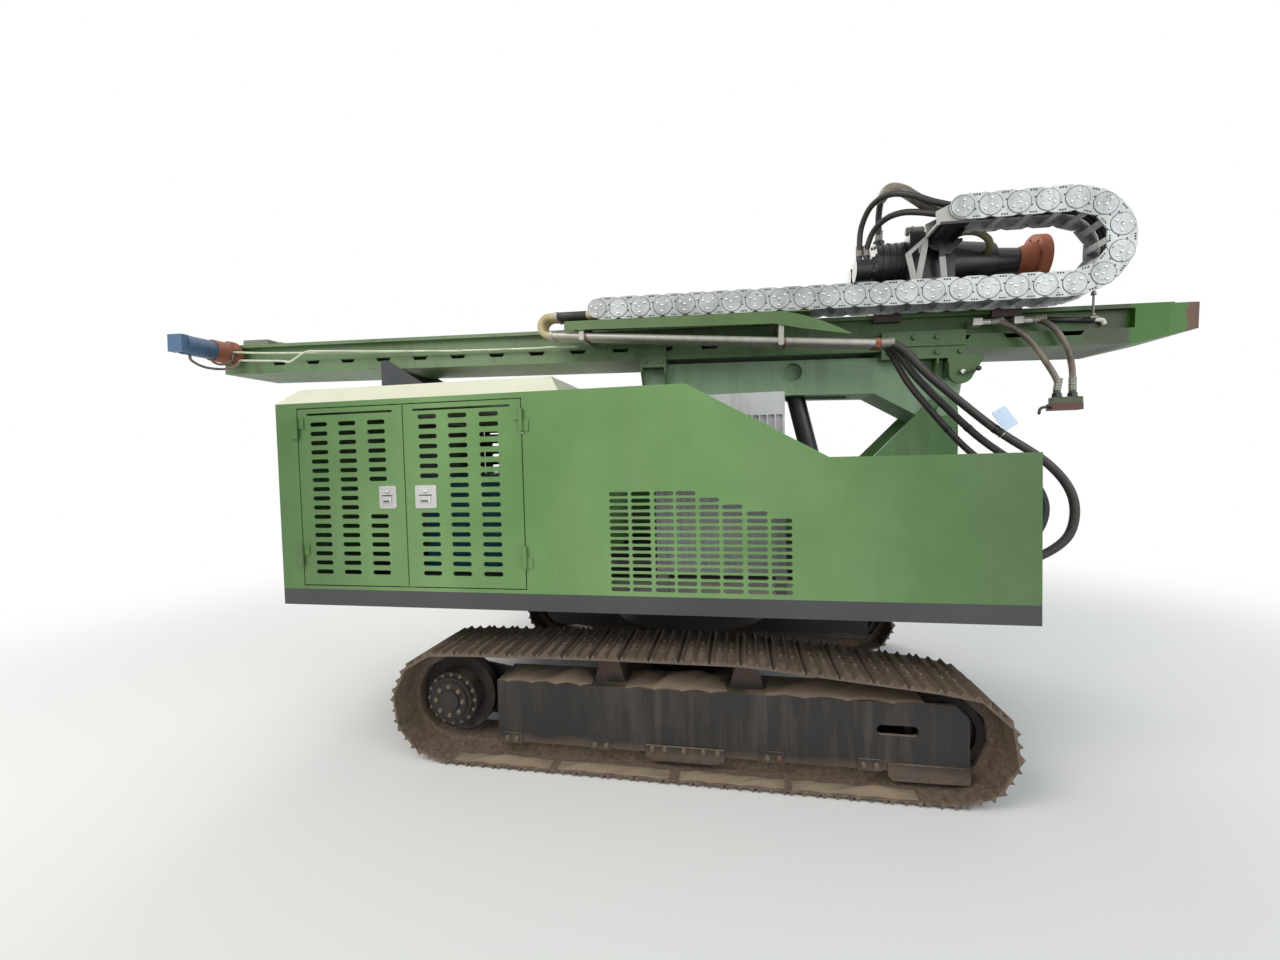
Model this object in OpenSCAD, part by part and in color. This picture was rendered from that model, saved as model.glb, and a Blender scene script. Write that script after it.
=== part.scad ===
// Rotary piling rig on steel tracks, mast laid down on its arm for transport.
// +X points to the working end, +Y to the machine's left, Z = 0 is the ground.
// Everything on the arm is drawn in the arm's own frame: its origin is the pivot pin,
// X runs along the mast and Z stands square to it.

/* [Undercarriage] */
// Place of the slewing axis along X
slew_x = 360; // [300:1:420]
// Distance between the middles of the two tracks
track_gauge = 1900; // [1800:10:2100]
// Width of a track shoe
shoe_w = 450; // [400:10:480]
// Number of shoes on one track
shoe_count = 44; // [44:1:44]
// Length of the car body's box
box_l = 840; // [800:10:880]
// Width of the car body's box
box_w = 1000; // [920:10:1060]
// Distance from the slewing axis back to the sprocket
sprocket_back = 1270; // [1240:5:1300]
// Distance from the slewing axis forward to the idler
idler_fore = 1304; // [1280:5:1330]
// Pin circle radius of the sprocket
sprocket_r = 261; // [250:1:270]
// Pin circle radius of the idler
idler_r = 223; // [210:1:235]
// Height from a shoe's pin line to its grouser tips
grouser_h = 55; // [50:1:60]
// Thickness of the links below and above the pin line
link_half = 32; // [28:1:36]
// Spacing of the carrier skids from the slewing axis
skid_off = 362; // [300:1:420]
// Height of the pin line over the skids
skid_pin_z = 592; // [580:1:610]
// Width of a track frame
frame_w = 240; // [200:5:260]
// Top edge of a track frame
frame_top = 440; // [420:5:450]
// Lower edge of a track frame
frame_low = 103; // [95:1:120]
// Plate thickness of a track frame
frame_t = 20; // [12:1:24]
// Outer radius of the final drive
drive_r = 150; // [130:5:170]

/* [Superstructure] */
// Rear end of the body
body_rear = -1920; // [-1960:5:-1880]
// Front end of the body
body_front = 2024; // [2000:2:2060]
// Half width over the side panels
body_half = 1125; // [1100:5:1140]
// Underside of the base frame
base_z = 849; // [830:1:870]
// Height of the grey base band
band_h = 92; // [80:2:110]
// Thickness of the base band
band_t = 8; // [6:1:12]
// Sheet thickness of the panels
sheet = 5; // [4:0.5:8]
// Height of the eaves
eave_z = 2010; // [1980:5:2040]
// Seam between engine housing and side panels
seam_x = -268; // [-320:2:-220]
// Top of the low front panels
front_z = 1627; // [1600:5:1660]
// Where the side panel's slope starts
slope_top_x = 451; // [400:5:500]
// Where the side panel's slope ends
slope_low_x = 1130; // [1080:5:1180]
// Height of the roof's bevel
roof_h = 100; // [80:5:120]
// Rear edge of the rear door
door_rear_x = -1775; // [-1800:5:-1750]
// Line where the two doors meet
door_mid_x = -1107; // [-1130:1:-1080]
// Front edge of the front door
door_front_x = -417; // [-440:1:-400]
// Lower edge of the doors
door_low_z = 967; // [955:1:980]
// Top edge of the doors
door_top_z = 1975; // [1950:1:1985]
// Gap all round a door
door_gap = 6; // [5:0.5:8]
// Length of a door louvre
louvre_l = 112; // [80:1:125]
// Height of a door louvre
louvre_h = 25; // [18:1:30]
// Length of a grille louvre
grille_l = 100; // [80:1:105]
// Height of a grille louvre
grille_h = 22; // [16:1:26]
// Rear end of the engine block
engine_rear = -1500; // [-1600:10:-1400]
// Front end of the engine block
engine_front = -700; // [-800:10:-650]
// Half width of the engine block
engine_half = 330; // [280:10:360]
// Height of the engine block
engine_h = 640; // [560:10:700]
// Length of the hydraulic tank
tank_l = 800; // [700:10:900]
// Width of the hydraulic tank
tank_w = 440; // [380:10:480]
// Height of the hydraulic tank
tank_h = 620; // [560:10:680]
// Rear end of the oil cooler
cooler_rear = 250; // [200:5:280]
// Front end of the oil cooler
cooler_front = 950; // [900:5:1000]
// Top of the oil cooler
cooler_top = 1980; // [1940:5:2000]
// Thickness of the oil cooler
cooler_t = 80; // [70:2:100]
// Rear end of the valve block
valve_rear = 1900; // [1860:5:1920]
// Top of the valve block
valve_top = 1100; // [1095:1:1120]

/* [Arm] */
// Pivot pin, distance along X
pin_x = 1948; // [1930:1:1960]
// Pivot pin, height
pin_z = 1896; // [1880:1:1910]
// Downward slope of the mast in transport, degrees
travel_tilt = 1.5; // [0:0.1:3]
// Width of the arm
arm_w = 360; // [320:10:400]
// Top of the arm above the pin
arm_top = 342; // [330:1:350]
// Underside of the arm above the pin
arm_low = 118; // [100:1:130]
// Rear end of the arm, behind the pin
arm_rear = -1880; // [-1920:5:-1840]
// Radius of the pivot boss
boss_r = 90; // [80:1:100]
// Radius of the pivot pin
pin_r = 35; // [30:1:40]
// Cylinder eye on the arm, along the arm
eye_u = -888; // [-900:1:-870]
// Cylinder eye on the arm, above the pin
eye_w = 266; // [260:1:270]
// Radius of the hole in the arm's side over the cylinder eye
eye_hole_r = 58; // [50:1:60]

/* [Mast] */
// Rear end of the mast
mast_rear = -5224; // [-5300:5:-5150]
// Front end of the mast
mast_front = 1300; // [1250:5:1350]
// Underside of the mast above the pin
mast_low = 366; // [362:1:372]
// Depth of the mast
mast_h = 225; // [200:5:250]
// Half width of the mast
mast_half = 240; // [220:5:260]
// Spacing of the side slots
slot_pitch = 300; // [260:5:340]
// Length of the closed nose at the front end
nose_l = 310; // [280:5:340]
// Rise of the underside over the nose
nose_rise = 72; // [60:1:90]

/* [Hose chain] */
// Pitch of the hose chain
chain_pitch = 140; // [130:1:150]
// Height of the hose chain
chain_h = 140; // [120:2:150]
// Width over the hose chain
chain_w = 200; // [160:5:220]
// Middle of the hose chain, to the right of the mast's middle
chain_y = -390; // [-400:1:-380]
// Links on the lower run
chain_low_links = 19; // [18:1:19]
// Links on the upper run
chain_up_links = 4; // [4:1:5]
// Middle of the hose chain's bend along the mast
bend_u = 540; // [500:5:580]
// Height of the lower pin line above the pin
chain_low_w = 650; // [645:1:660]

/* [Drive head] */
// Height of the spindle above the pin
spindle_w = 950; // [930:5:960]
// Front face of the drive flange
flange_u = 617; // [600:1:640]
// Radius of the drive flange
flange_r = 150; // [140:1:160]
// Rear end of the head's motors
head_rear = -500; // [-515:5:-490]
// Radius of the drum between gearbox and motors
drum_r = 145; // [130:1:150]

/* [Hidden] */
$fn = 48;

// Clearance between faces that meet on one body, and between moving bodies
seat = 0.3;
run_gap = 6;
eps = 0.01;

green = "#5f8a4f";
green_dark = "#3f6b43";
steel = "#9a9a96";
dark = "#3b3b3d";
black = "#202124";
mud = "#6b5748";

track_y = track_gauge / 2;
sprocket_x = slew_x - sprocket_back;
idler_x = slew_x + idler_fore;
sprocket_z = sprocket_r + grouser_h;
idler_z = idler_r + grouser_h;
band_z = base_z + band_h;
wall_z = band_z + seat;
deck_z = base_z + 12;
mast_top = mast_low + mast_h;

// Places a child given in the arm's frame
module on_arm() {
    translate([pin_x, 0, pin_z]) rotate([0, travel_tilt, 0]) children();
}

// Point of the arm's frame in the machine's frame
function from_arm(u, y, w) = [pin_x + u * cos(travel_tilt) + w * sin(travel_tilt), y,
    pin_z - u * sin(travel_tilt) + w * cos(travel_tilt)];

// Extrudes an outline drawn in X and Z over the width from y0 to y1
module side_plate(y0, y1) {
    translate([0, y1, 0]) rotate([90, 0, 0]) linear_extrude(y1 - y0) children();
}

// Same piece on both sides of the machine
module both_sides() {
    children();
    mirror([0, 1, 0]) children();
}

// Box between two corners
module block(a, b) {
    translate(a) cube(b - a);
}

// Cylinder along Y from y0 to y1
module round_y(x, z, r, y0, y1) {
    translate([x, y1, z]) rotate([90, 0, 0]) cylinder(r = r, h = y1 - y0);
}

// Track loop: pin line over sprocket, skids and idler, walked by arc length.
// A point is [x, z]; an arc is given by centre, radius and two angles.
function arc(c, r, a0, a1, n) =
    [for (i = [0:n]) c + r * [cos(a0 + (a1 - a0) * i / n), sin(a0 + (a1 - a0) * i / n)]];
function rise(a, b) = atan2(b[1] - a[1], b[0] - a[0]);
sprocket_c = [sprocket_x, sprocket_z];
idler_c = [idler_x, idler_z];
skid_a = [slew_x - skid_off, skid_pin_z];
skid_b = [slew_x + skid_off, skid_pin_z];
// Angle at which the tangent from a point leaves a wheel, on its upper side
lift_a = rise(sprocket_c, skid_a) + acos(sprocket_r / norm(skid_a - sprocket_c));
lift_b = rise(idler_c, skid_b) - acos(idler_r / norm(skid_b - idler_c));
pin_line = concat(arc(sprocket_c, sprocket_r, 270, lift_a, 24), [skid_a, skid_b],
    arc(idler_c, idler_r, lift_b, -90, 24), [[sprocket_x, grouser_h]]);
function run(p, i = 0, s = 0) =
    i >= len(p) - 1 ? [s] : concat([s], run(p, i + 1, s + norm(p[i + 1] - p[i])));
stations = run(pin_line);
loop_len = stations[len(stations) - 1];
shoe_pitch = loop_len / shoe_count;
table_x = [for (i = [0:len(stations) - 1]) [stations[i], pin_line[i][0]]];
table_z = [for (i = [0:len(stations) - 1]) [stations[i], pin_line[i][1]]];
function pin_at(k) =
    let (s = (k % shoe_count) * shoe_pitch) [lookup(s, table_x), lookup(s, table_z)];
// Outline of one shoe: share of the pitch, height above the pin line
shoe_outline = [[0, 30], [0.1, grouser_h], [0.18, 37], [0.43, 37], [0.5, grouser_h],
    [0.57, 37], [0.82, 37], [0.9, grouser_h]];
function on_link(a, b, s, h) =
    let (d = (b - a) / norm(b - a)) a + s * (b - a) + h * [-d[1], d[0]];
shoes = [for (k = [0:shoe_count - 1]) for (q = shoe_outline)
    on_link(pin_at(k), pin_at(k + 1), q[0], q[1])];
function offset_pin(k, h) =
    let (a = pin_at(k + shoe_count - 1), b = pin_at(k + 1), d = (b - a) / norm(b - a))
    pin_at(k) + h * [-d[1], d[0]];
module track_ring(outer, h) {
    difference() {
        polygon(outer);
        polygon([for (k = [0:shoe_count - 1]) offset_pin(k, h)]);
    }
}
module track() {
    color(mud) {
        side_plate(track_y - shoe_w / 2, track_y + shoe_w / 2) track_ring(shoes, 26);
        side_plate(track_y - 80, track_y + 80)
            track_ring([for (k = [0:shoe_count - 1]) offset_pin(k, 28)], -link_half);
    }
}
module track_left() { track(); }
module track_right() { mirror([0, 1, 0]) track(); }

// Underside of the links on the upper run, as height over X
upper_run = [for (k = [0:shoe_count - 1]) let (q = offset_pin(k, -link_half)) if (q[1] > frame_top) q];
function under_links(x) = lookup(x, upper_run);

// Track frame: channel over the rollers, open over the idler
skid_w = 120;
skid_l = 100;
frame_rear = sprocket_x + sprocket_r + 20;
frame_front = idler_x + 87;
function rim_under_links(r) = sqrt(r * r - shoe_pitch * shoe_pitch / 4) - link_half - 1;
idler_rim = rim_under_links(idler_r);
module frame_profile() {
    polygon([[frame_rear, frame_low], [frame_front, frame_low], [frame_front, frame_top - 60],
        [frame_front - 60, frame_top], [frame_rear, frame_top]]);
}
module track_frame() {
    y0 = track_y - frame_w / 2;
    y1 = track_y + frame_w / 2;
    difference() {
        side_plate(y0, y1) frame_profile();
        block([frame_rear + frame_t, y0 + frame_t, frame_low - 1],
            [frame_front + 1, y1 - frame_t, frame_top - frame_t]);
        // Room for the idler
        block([idler_x - idler_r - 20, y0 + frame_t, frame_low - 1],
            [frame_front + 1, y1 - frame_t, frame_top + 1]);
        // Idler adjusting slot
        side_plate(y0 - 1, y1 + 1) hull() {
            translate([idler_x - 300, 302]) circle(r = 25);
            translate([idler_x - 160, 302]) circle(r = 25);
        }
    }
    // Carrier skids, their tops worn to the links above them
    for (s = [-1, 1]) {
        x = slew_x + s * skid_off;
        side_plate(track_y - skid_w / 2, track_y + skid_w / 2)
            polygon(concat([[x - skid_l / 2 - 38, frame_top], [x + skid_l / 2 + 38, frame_top]],
                [for (d = [skid_l / 2, 0, -skid_l / 2]) [x + d, under_links(x + d) - seat]]));
    }
    // Guard plates on the outer side
    side_plate(y1, y1 + 12)
        polygon([[200, frame_low + 40], [606, frame_low + 40], [606, 84], [560, 66], [246, 66],
            [200, 84]]);
    side_plate(y1, y1 + 12)
        polygon([[1387, frame_low + 40], [frame_front, frame_low + 40], [frame_front, 66],
            [1410, 60], [1387, 84]]);
    // Carrier plate of the final drive
    side_plate(y0, y0 + frame_t) {
        translate(sprocket_c) circle(r = drive_r + 20);
        polygon([[sprocket_x, sprocket_z - drive_r], [frame_rear + 1, frame_low + 20],
            [frame_rear + 1, frame_top - 20], [sprocket_x, sprocket_z + drive_r]]);
    }
}
module track_frames() { color(dark) both_sides() track_frame(); }

// Hub gearbox and sprocket wheel as one turned body
module final_drive() {
    y0 = track_y - frame_w / 2 + frame_t;
    round_y(sprocket_x, sprocket_z, drive_r, y0, track_y + frame_w / 2 - 10);
    // Stepped cover, widest step next to the track
    for (step = [[25, 8], [48, 20], [92, 30]])
        round_y(sprocket_x, sprocket_z, drive_r - step[0], y0, track_y + frame_w / 2 + step[1]);
    round_y(sprocket_x, sprocket_z, rim_under_links(sprocket_r), track_y - 25, track_y + 25);
}
module final_drives() { color(mud) both_sides() final_drive(); }

module idler() {
    inner = frame_w / 2 - frame_t;
    difference() {
        round_y(idler_x, idler_z, idler_rim, track_y - 55, track_y + 55);
        for (s = [-1, 1])
            round_y(idler_x, idler_z, idler_rim - 35, track_y + s * 40 - 16, track_y + s * 40 + 16);
    }
    round_y(idler_x, idler_z, 60, track_y - inner, track_y + inner);
}
module idlers() { color(mud) both_sides() idler(); }

roller_r = 72;
roller_z = grouser_h + link_half + roller_r + seat;
module rollers() {
    inner = frame_w / 2 - frame_t;
    first = frame_rear + 190;
    last = idler_x - idler_r - 110;
    color(mud) both_sides() for (i = [0:4]) {
        x = first + (last - first) * i / 4;
        round_y(x, roller_z, roller_r, track_y - 70, track_y + 70);
        round_y(x, roller_z, 38, track_y - inner, track_y + inner);
    }
}

// Middle of the undercarriage: box, two cross beams and the slewing pedestal
ring_z = 640;
ring_r = 430;
ring_h = 100;
box_low = 300;
box_top = 560;
module car_body() {
    y0 = track_y - frame_w / 2;
    color(dark) {
        block([slew_x - box_l / 2, -box_w / 2, box_low], [slew_x + box_l / 2, box_w / 2, box_top]);
        for (s = [-1, 1]) {
            x = slew_x + s * 300;
            side_plate(-y0 + seat, y0 - seat)
                polygon([[x - 110, 240], [x + 110, 240], [x + 110, 430], [x - 110, 430]]);
        }
        translate([slew_x, 0, box_top - eps])
            cylinder(r1 = ring_r + 90, r2 = ring_r + 30, h = ring_z - box_top + 2 * eps);
        translate([slew_x, 0, ring_z]) cylinder(r = ring_r, h = ring_h);
    }
}

// Base frame: grey band, deck and slewing race
module base_frame() {
    color(dark) {
        difference() {
            block([body_rear, -body_half, base_z], [body_front, body_half, band_z]);
            block([body_rear + band_t, -body_half + band_t, deck_z],
                [body_front - band_t, body_half - band_t, band_z + 1]);
        }
        // Upper race of the slewing ring, bolted under the deck
        translate([slew_x, 0, ring_z + ring_h + seat]) cylinder(r = ring_r + 20,
            h = base_z - ring_z - ring_h - 2 * seat);
        // Longitudinal ribs under arm and engine
        for (s = [-1, 1])
            block([body_rear + band_t, s * 320 - 8, deck_z - 1],
                [body_front - band_t, s * 320 + 8, deck_z + 60]);
    }
}

// Hinge axes lie in the middle of the gaps at the doors' outer edges
rear_axis = door_rear_x - door_gap / 2;
front_axis = door_front_x + door_gap / 2;

// Engine housing: side walls with a door opening, rear wall and front post
module housing_wall() {
    difference() {
        block([body_rear, -body_half, wall_z], [seam_x, -body_half + sheet, eave_z]);
        block([door_rear_x - door_gap, -body_half - 1, door_low_z - door_gap],
            [door_front_x + door_gap, -body_half + sheet + 1, door_top_z + door_gap]);
    }
    post_knuckles(rear_axis, -1);
    post_knuckles(front_axis, 1);
    // Stop rail behind the meeting line of the doors
    block([door_mid_x - 30, -body_half + sheet + door_gap, deck_z + seat],
        [door_mid_x + 30, -body_half + sheet + door_gap + 30, eave_z]);
    block([door_mid_x - 30, -body_half + sheet - eps, door_top_z + door_gap + 2],
        [door_mid_x + 30, -body_half + sheet + door_gap + eps, eave_z]);
}
module engine_housing() {
    color(green) {
        both_sides() housing_wall();
        block([body_rear, -body_half + sheet - eps, wall_z],
            [body_rear + sheet, body_half - sheet + eps, eave_z]);
        // Partition towards the mast well
        block([seam_x - sheet, -body_half + sheet - eps, wall_z],
            [seam_x, body_half - sheet + eps, eave_z]);
    }
}

// Bevelled roof, one folded sheet
roof_in = 150;
roof_lap = 60;
module roof_shape(t) {
    intersection() {
        translate([body_rear - 1, 0, 0]) rotate([90, 0, 90])
            linear_extrude(seam_x + roof_lap - body_rear + 2)
                polygon([[-body_half + t, eave_z - eps], [body_half - t, eave_z - eps],
                    [body_half - roof_in, eave_z + roof_h - t],
                    [-body_half + roof_in, eave_z + roof_h - t]]);
        side_plate(-body_half, body_half)
            polygon([[body_rear + t, eave_z - eps], [seam_x + roof_lap - t, eave_z - eps],
                [seam_x - 30, eave_z + roof_h - t], [body_rear + 20, eave_z + roof_h - t]]);
    }
}
module roof() {
    color("#d8d6b0") translate([0, 0, seat]) difference() {
        roof_shape(0);
        translate([0, 0, -2 * eps]) roof_shape(sheet);
    }
}

// Door leaf with obround louvres; columns are [x, rows left out]
louvre_rows = 17;
module louvre(x, z, l, h) {
    translate([x, z]) square([l - h, h], center = true);
    for (s = [-1, 1]) translate([x + s * (l - h) / 2, z]) circle(d = h, $fn = 12);
}
module door_leaf(x0, x1, columns, z_low, z_high) {
    pitch = (z_high - z_low) / (louvre_rows - 1);
    side_plate(-body_half, -body_half + sheet) difference() {
        translate([x0, door_low_z]) square([x1 - x0, door_top_z - door_low_z]);
        for (c = columns) for (i = [0:louvre_rows - 1])
            if (i < c[1] || i > c[2]) louvre(c[0], z_high - i * pitch, louvre_l, louvre_h);
        // Slit under the door's top edge
        translate([x0 + 60, door_top_z - 38]) square([x1 - x0 - 120, 12]);
    }
}
// Hinges: a leaf knuckle on the door over a post knuckle on the wall, on one axis.
// side is -1 with the leaf's edge in front of the axis, 1 with the edge behind it.
hinge_r = 11;
hinge_l = 60;
hinge_zs = [door_low_z + 110, door_top_z - 170];
module knuckle(x, z, reach) {
    translate([x, -body_half - hinge_r, z]) cylinder(r = hinge_r, h = hinge_l - seat);
    block([min(x, x + reach), -body_half - 6, z], [max(x, x + reach), -body_half + eps,
        z + hinge_l - seat]);
}
module leaf_knuckles(x, side) {
    for (z = hinge_zs) knuckle(x, z + hinge_l, -side * 45);
}
module post_knuckles(x, side) {
    for (z = hinge_zs) knuckle(x, z, side * 40);
}
module right_rear_leaf() {
    color(green) {
        door_leaf(door_rear_x, door_mid_x - door_gap / 2,
            [[-1639, 99, 99], [-1457, 99, 99], [-1273, 7, 9]], 1043, 1886);
        leaf_knuckles(rear_axis, -1);
    }
}
module right_front_leaf() {
    color(green) {
        door_leaf(door_mid_x + door_gap / 2, door_front_x,
            [[-959, 7, 9], [-781, 99, 99], [-600, 99, 99]], 1043, 1904);
        leaf_knuckles(front_axis, 1);
    }
}
module door_right_rear() { right_rear_leaf(); }
module door_right_front() { right_front_leaf(); }
module door_left_rear() { mirror([0, 1, 0]) right_rear_leaf(); }
module door_left_front() { mirror([0, 1, 0]) right_front_leaf(); }

// Side panel with its sloped top edge and the grille; first_row grows with the slope
grille_x = [99, 213, 331, 442, 557, 669, 789, 903];
grille_first = [0, 0, 0, 0, 1, 2, 3, 4];
grille_rows = 15;
grille_top = 1466;
grille_low = 976;
module side_panel() {
    pitch = (grille_top - grille_low) / (grille_rows - 1);
    color(green) {
        side_plate(-body_half, -body_half + sheet) difference() {
            polygon([[seam_x + seat, wall_z], [body_front, wall_z], [body_front, front_z],
                [slope_low_x, front_z], [slope_top_x, eave_z], [seam_x + seat, eave_z]]);
            for (c = [0:7]) for (i = [grille_first[c]:grille_rows - 1])
                louvre(grille_x[c], grille_top - i * pitch, grille_l, grille_h);
        }
        // Return edge at the front end
        block([body_front - sheet, -body_half + sheet - eps, wall_z],
            [body_front, -body_half + 420, front_z]);
        // Folded top edge
        block([slope_low_x, -body_half + sheet - eps, front_z - sheet],
            [body_front, -body_half + 40, front_z]);
    }
}
module side_panel_right() { side_panel(); }
module side_panel_left() { mirror([0, 1, 0]) side_panel(); }

// Engine and pump block inside the housing
module power_unit() {
    color("#2f6f8f") {
        z0 = deck_z + 60 + seat;
        block([engine_rear, -engine_half, z0], [engine_front, engine_half, z0 + engine_h]);
        // Pumps on the engine's front end
        block([engine_front - eps, -engine_half / 2, z0 + engine_h / 4],
            [engine_front + 280, engine_half / 2, z0 + engine_h * 0.7]);
    }
}
tank_x = 0;
tank_y = 520;
module hydraulic_tank() {
    color(green_dark) block([tank_x, tank_y, deck_z + seat], [tank_x + tank_l, tank_y + tank_w, deck_z + tank_h]);
}
// Oil cooler: header, side frame and upright fins
cooler_y = -870;
cooler_low = 1000;
header_h = 120;
fin_pitch = 40;
module oil_cooler() {
    x0 = cooler_rear;
    x1 = cooler_front;
    y0 = cooler_y;
    y1 = cooler_y + cooler_t;
    color(steel) {
        block([x0, y0, cooler_low], [x1, y1, cooler_low + header_h / 2]);
        block([x0, y0, cooler_top - header_h], [x1, y1, cooler_top]);
        block([x0, y0 + 20, cooler_low + header_h / 2 - eps], [x1, y1 - 20, cooler_top - header_h + eps]);
        for (x = [x0 + 6:fin_pitch:x1 - 14])
            block([x, y0, cooler_low + header_h / 2 - eps], [x + 8, y1, cooler_top - header_h + eps]);
        for (x = [x0, x1 - 60]) block([x, y0 + 10, deck_z + seat], [x + 60, y1 - 10, cooler_low + eps]);
    }
}
// Rest on the roof: a saddle with gussets that carries the mast in transport
rest_rear = -1900;
rest_post = 80;
rest_foot = -1400;
function mast_bottom(x) = pin_z + (mast_low - (x - pin_x) * sin(travel_tilt)) / cos(travel_tilt);
module mast_rest() {
    z0 = eave_z + roof_h + 2 * seat;
    top = mast_bottom(rest_rear + rest_post);
    color("#3a4654") {
        both_sides() side_plate(mast_half + run_gap, mast_half + run_gap + 8)
            polygon([[rest_rear + 25, z0], [rest_foot, z0], [rest_foot, z0 + 40],
                [rest_rear + rest_post, top + 60], [rest_rear + 25, top + 60]]);
        block([rest_rear + 25, -mast_half - run_gap - 1, top - 60],
            [rest_rear + rest_post, mast_half + run_gap + 1, top - seat]);
        block([rest_foot - 60, -mast_half - run_gap - 1, z0], [rest_foot, mast_half + run_gap + 1, z0 + 30]);
    }
}

// Control valve block at the front, where the boom hoses end
valve_x = body_front - band_t - 6;
module valve_block() {
    color(black) difference() {
        block([valve_rear, -570, deck_z + seat], [valve_x, -335, valve_top]);
        // Step behind the hose ports
        block([valve_rear - 1, -500, valve_top - 40], [valve_x - 50, -390, valve_top + 1]);
    }
}

// Pivot bracket: two side plates with a sloped rear edge, joined by a cross plate
bracket_t = 20;
bracket_y = arm_w / 2 + run_gap;
module pivot_bracket() {
    color(green) {
        both_sides() difference() {
            side_plate(bracket_y, bracket_y + bracket_t) {
                translate([pin_x, pin_z]) circle(r = boss_r);
                polygon([[pin_x - 0.707 * boss_r, pin_z + 0.707 * boss_r],
                    [1400, pin_z + 1.414 * boss_r - (pin_x - 1400)], [1400, deck_z + seat],
                    [body_front - band_t - 6, deck_z + seat], [pin_x + boss_r, 1700],
                    [pin_x + boss_r, pin_z]]);
            }
            round_y(pin_x, pin_z, pin_r, bracket_y - 1, bracket_y + bracket_t + 1);
        }
        // Cross plate under the arm's heel, in front of the cylinder's swing
        block([foot_x + 300, -bracket_y - 1, deck_z + seat],
            [foot_x + 300 + bracket_t, bracket_y + 1, foot_z + 340]);
        block([foot_x - 120, -bracket_y - 1, deck_z + seat],
            [foot_x + 301, bracket_y + 1, deck_z + bracket_t]);
        // Cylinder foot
        for (s = [-1, 1])
            side_plate(s * 75 - 12, s * 75 + 12) difference() {
                polygon([[foot_x - 100, deck_z + 1], [foot_x + 100, deck_z + 1], [foot_x + 60, foot_z + 60],
                    [foot_x - 60, foot_z + 60]]);
                translate([foot_x, foot_z]) circle(r = foot_pin_r);
            }
    }
}

// Lifting cylinder between the base and the arm's eye
foot_x = 1320;
foot_z = 1100;
foot_pin_r = 30;
eye_x = pin_x + eye_u * cos(travel_tilt) + eye_w * sin(travel_tilt);
eye_z = pin_z - eye_u * sin(travel_tilt) + eye_w * cos(travel_tilt);
cyl_len = norm([eye_x - foot_x, eye_z - foot_z]);
cyl_lean = atan2(eye_x - foot_x, eye_z - foot_z);
barrel_r = 60;
bore_r = 50;
rod_r = 32;
module on_cylinder() {
    translate([foot_x, 0, foot_z]) rotate([0, cyl_lean, 0]) children();
}
module cylinder_barrel() {
    color(dark) on_cylinder() {
        difference() {
            union() {
                translate([0, 0, 50]) cylinder(r = barrel_r, h = cyl_len - 170);
                translate([0, 0, cyl_len - 160]) cylinder(r = barrel_r + 8, h = 40);
            }
            translate([0, 0, 80]) cylinder(r = bore_r, h = cyl_len - 80 - 160);
            translate([0, 0, cyl_len - 170]) cylinder(r = rod_r + 0.1, h = 60);
        }
        difference() {
            round_y(0, 0, 62, -55, 55);
            round_y(0, 0, foot_pin_r + 0.1, -60, 60);
        }
        // Foot pin held in the base ears
        round_y(0, 0, foot_pin_r, -55.05, 55.05);
        round_y(0, 0, foot_pin_r - 0.1, -95, 95);
    }
}
module cylinder_rod() {
    color(steel) on_cylinder() {
        translate([0, 0, 84]) cylinder(r = rod_r, h = cyl_len - 124);
        translate([0, 0, 84]) cylinder(r = bore_r - 0.1, h = 30);
        // Eye with its pin
        round_y(0, cyl_len, 55, -45, 45);
        round_y(0, cyl_len, 30, -94, 94);
    }
}

// Arm: box beam with gooseneck heel, pocket for the lifting cylinder
module arm_outline() {
    polygon([[arm_rear, arm_low + 20], [arm_rear + 30, arm_low], [-390, arm_low],
        [-0.707 * boss_r, -0.707 * boss_r], [0.707 * boss_r, -0.707 * boss_r],
        [boss_r, 0], [120, 200], [120, arm_top], [arm_rear, arm_top]]);
    circle(r = boss_r);
}
module eye_holes(r, y0, y1) {
    both_sides() round_y(eye_u, eye_w, r, y0, y1);
}
module arm() {
    half = arm_w / 2;
    color(green_dark) on_arm() {
        difference() {
            side_plate(-half, half) arm_outline();
            // Room for cylinder and rod eye
            side_plate(-100, 100)
                polygon([[eye_u - 250, arm_low - 20], [eye_u + 420, arm_low - 20],
                    [eye_u + 230, arm_low + 100], [eye_u + 230, arm_top + 1], [eye_u - 250, arm_top + 1]]);
            eye_holes(eye_hole_r, half - 50, half + 1);
        }
        // Rings round the holes over the cylinder eye
        difference() {
            eye_holes(eye_hole_r + 10, half - eps, half + 5);
            eye_holes(eye_hole_r, half - 1, half + 6);
        }
        // Pivot pin
        round_y(0, 0, pin_r - 0.1, -bracket_y - bracket_t - 12, bracket_y + bracket_t + 12);
    }
}

// Clamps that hold the mast's lower flanges down on the arm: rear and front guide
clamp_t = 20;
clamp_y = mast_half + run_gap;
rear_clamp = [arm_rear, arm_rear + 170];
front_clamp = [-370, 100];
module clamp(u0, u1) {
    both_sides() {
        block([u0, clamp_y, arm_top - 30], [u1, clamp_y + clamp_t, mast_low + 112]);
        // Shelf under the mast and lip over its ledge
        block([u0, arm_w / 2, arm_top - 30], [u1, clamp_y + clamp_t, arm_top - 10]);
        block([u0, mast_half - 18, mast_low + 100], [u1, clamp_y + clamp_t, mast_low + 112]);
        // Bolting flange along the outer side
        block([u0, clamp_y + clamp_t - eps, mast_low + 20], [u1, clamp_y + clamp_t + 12, mast_low + 32]);
    }
}
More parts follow.
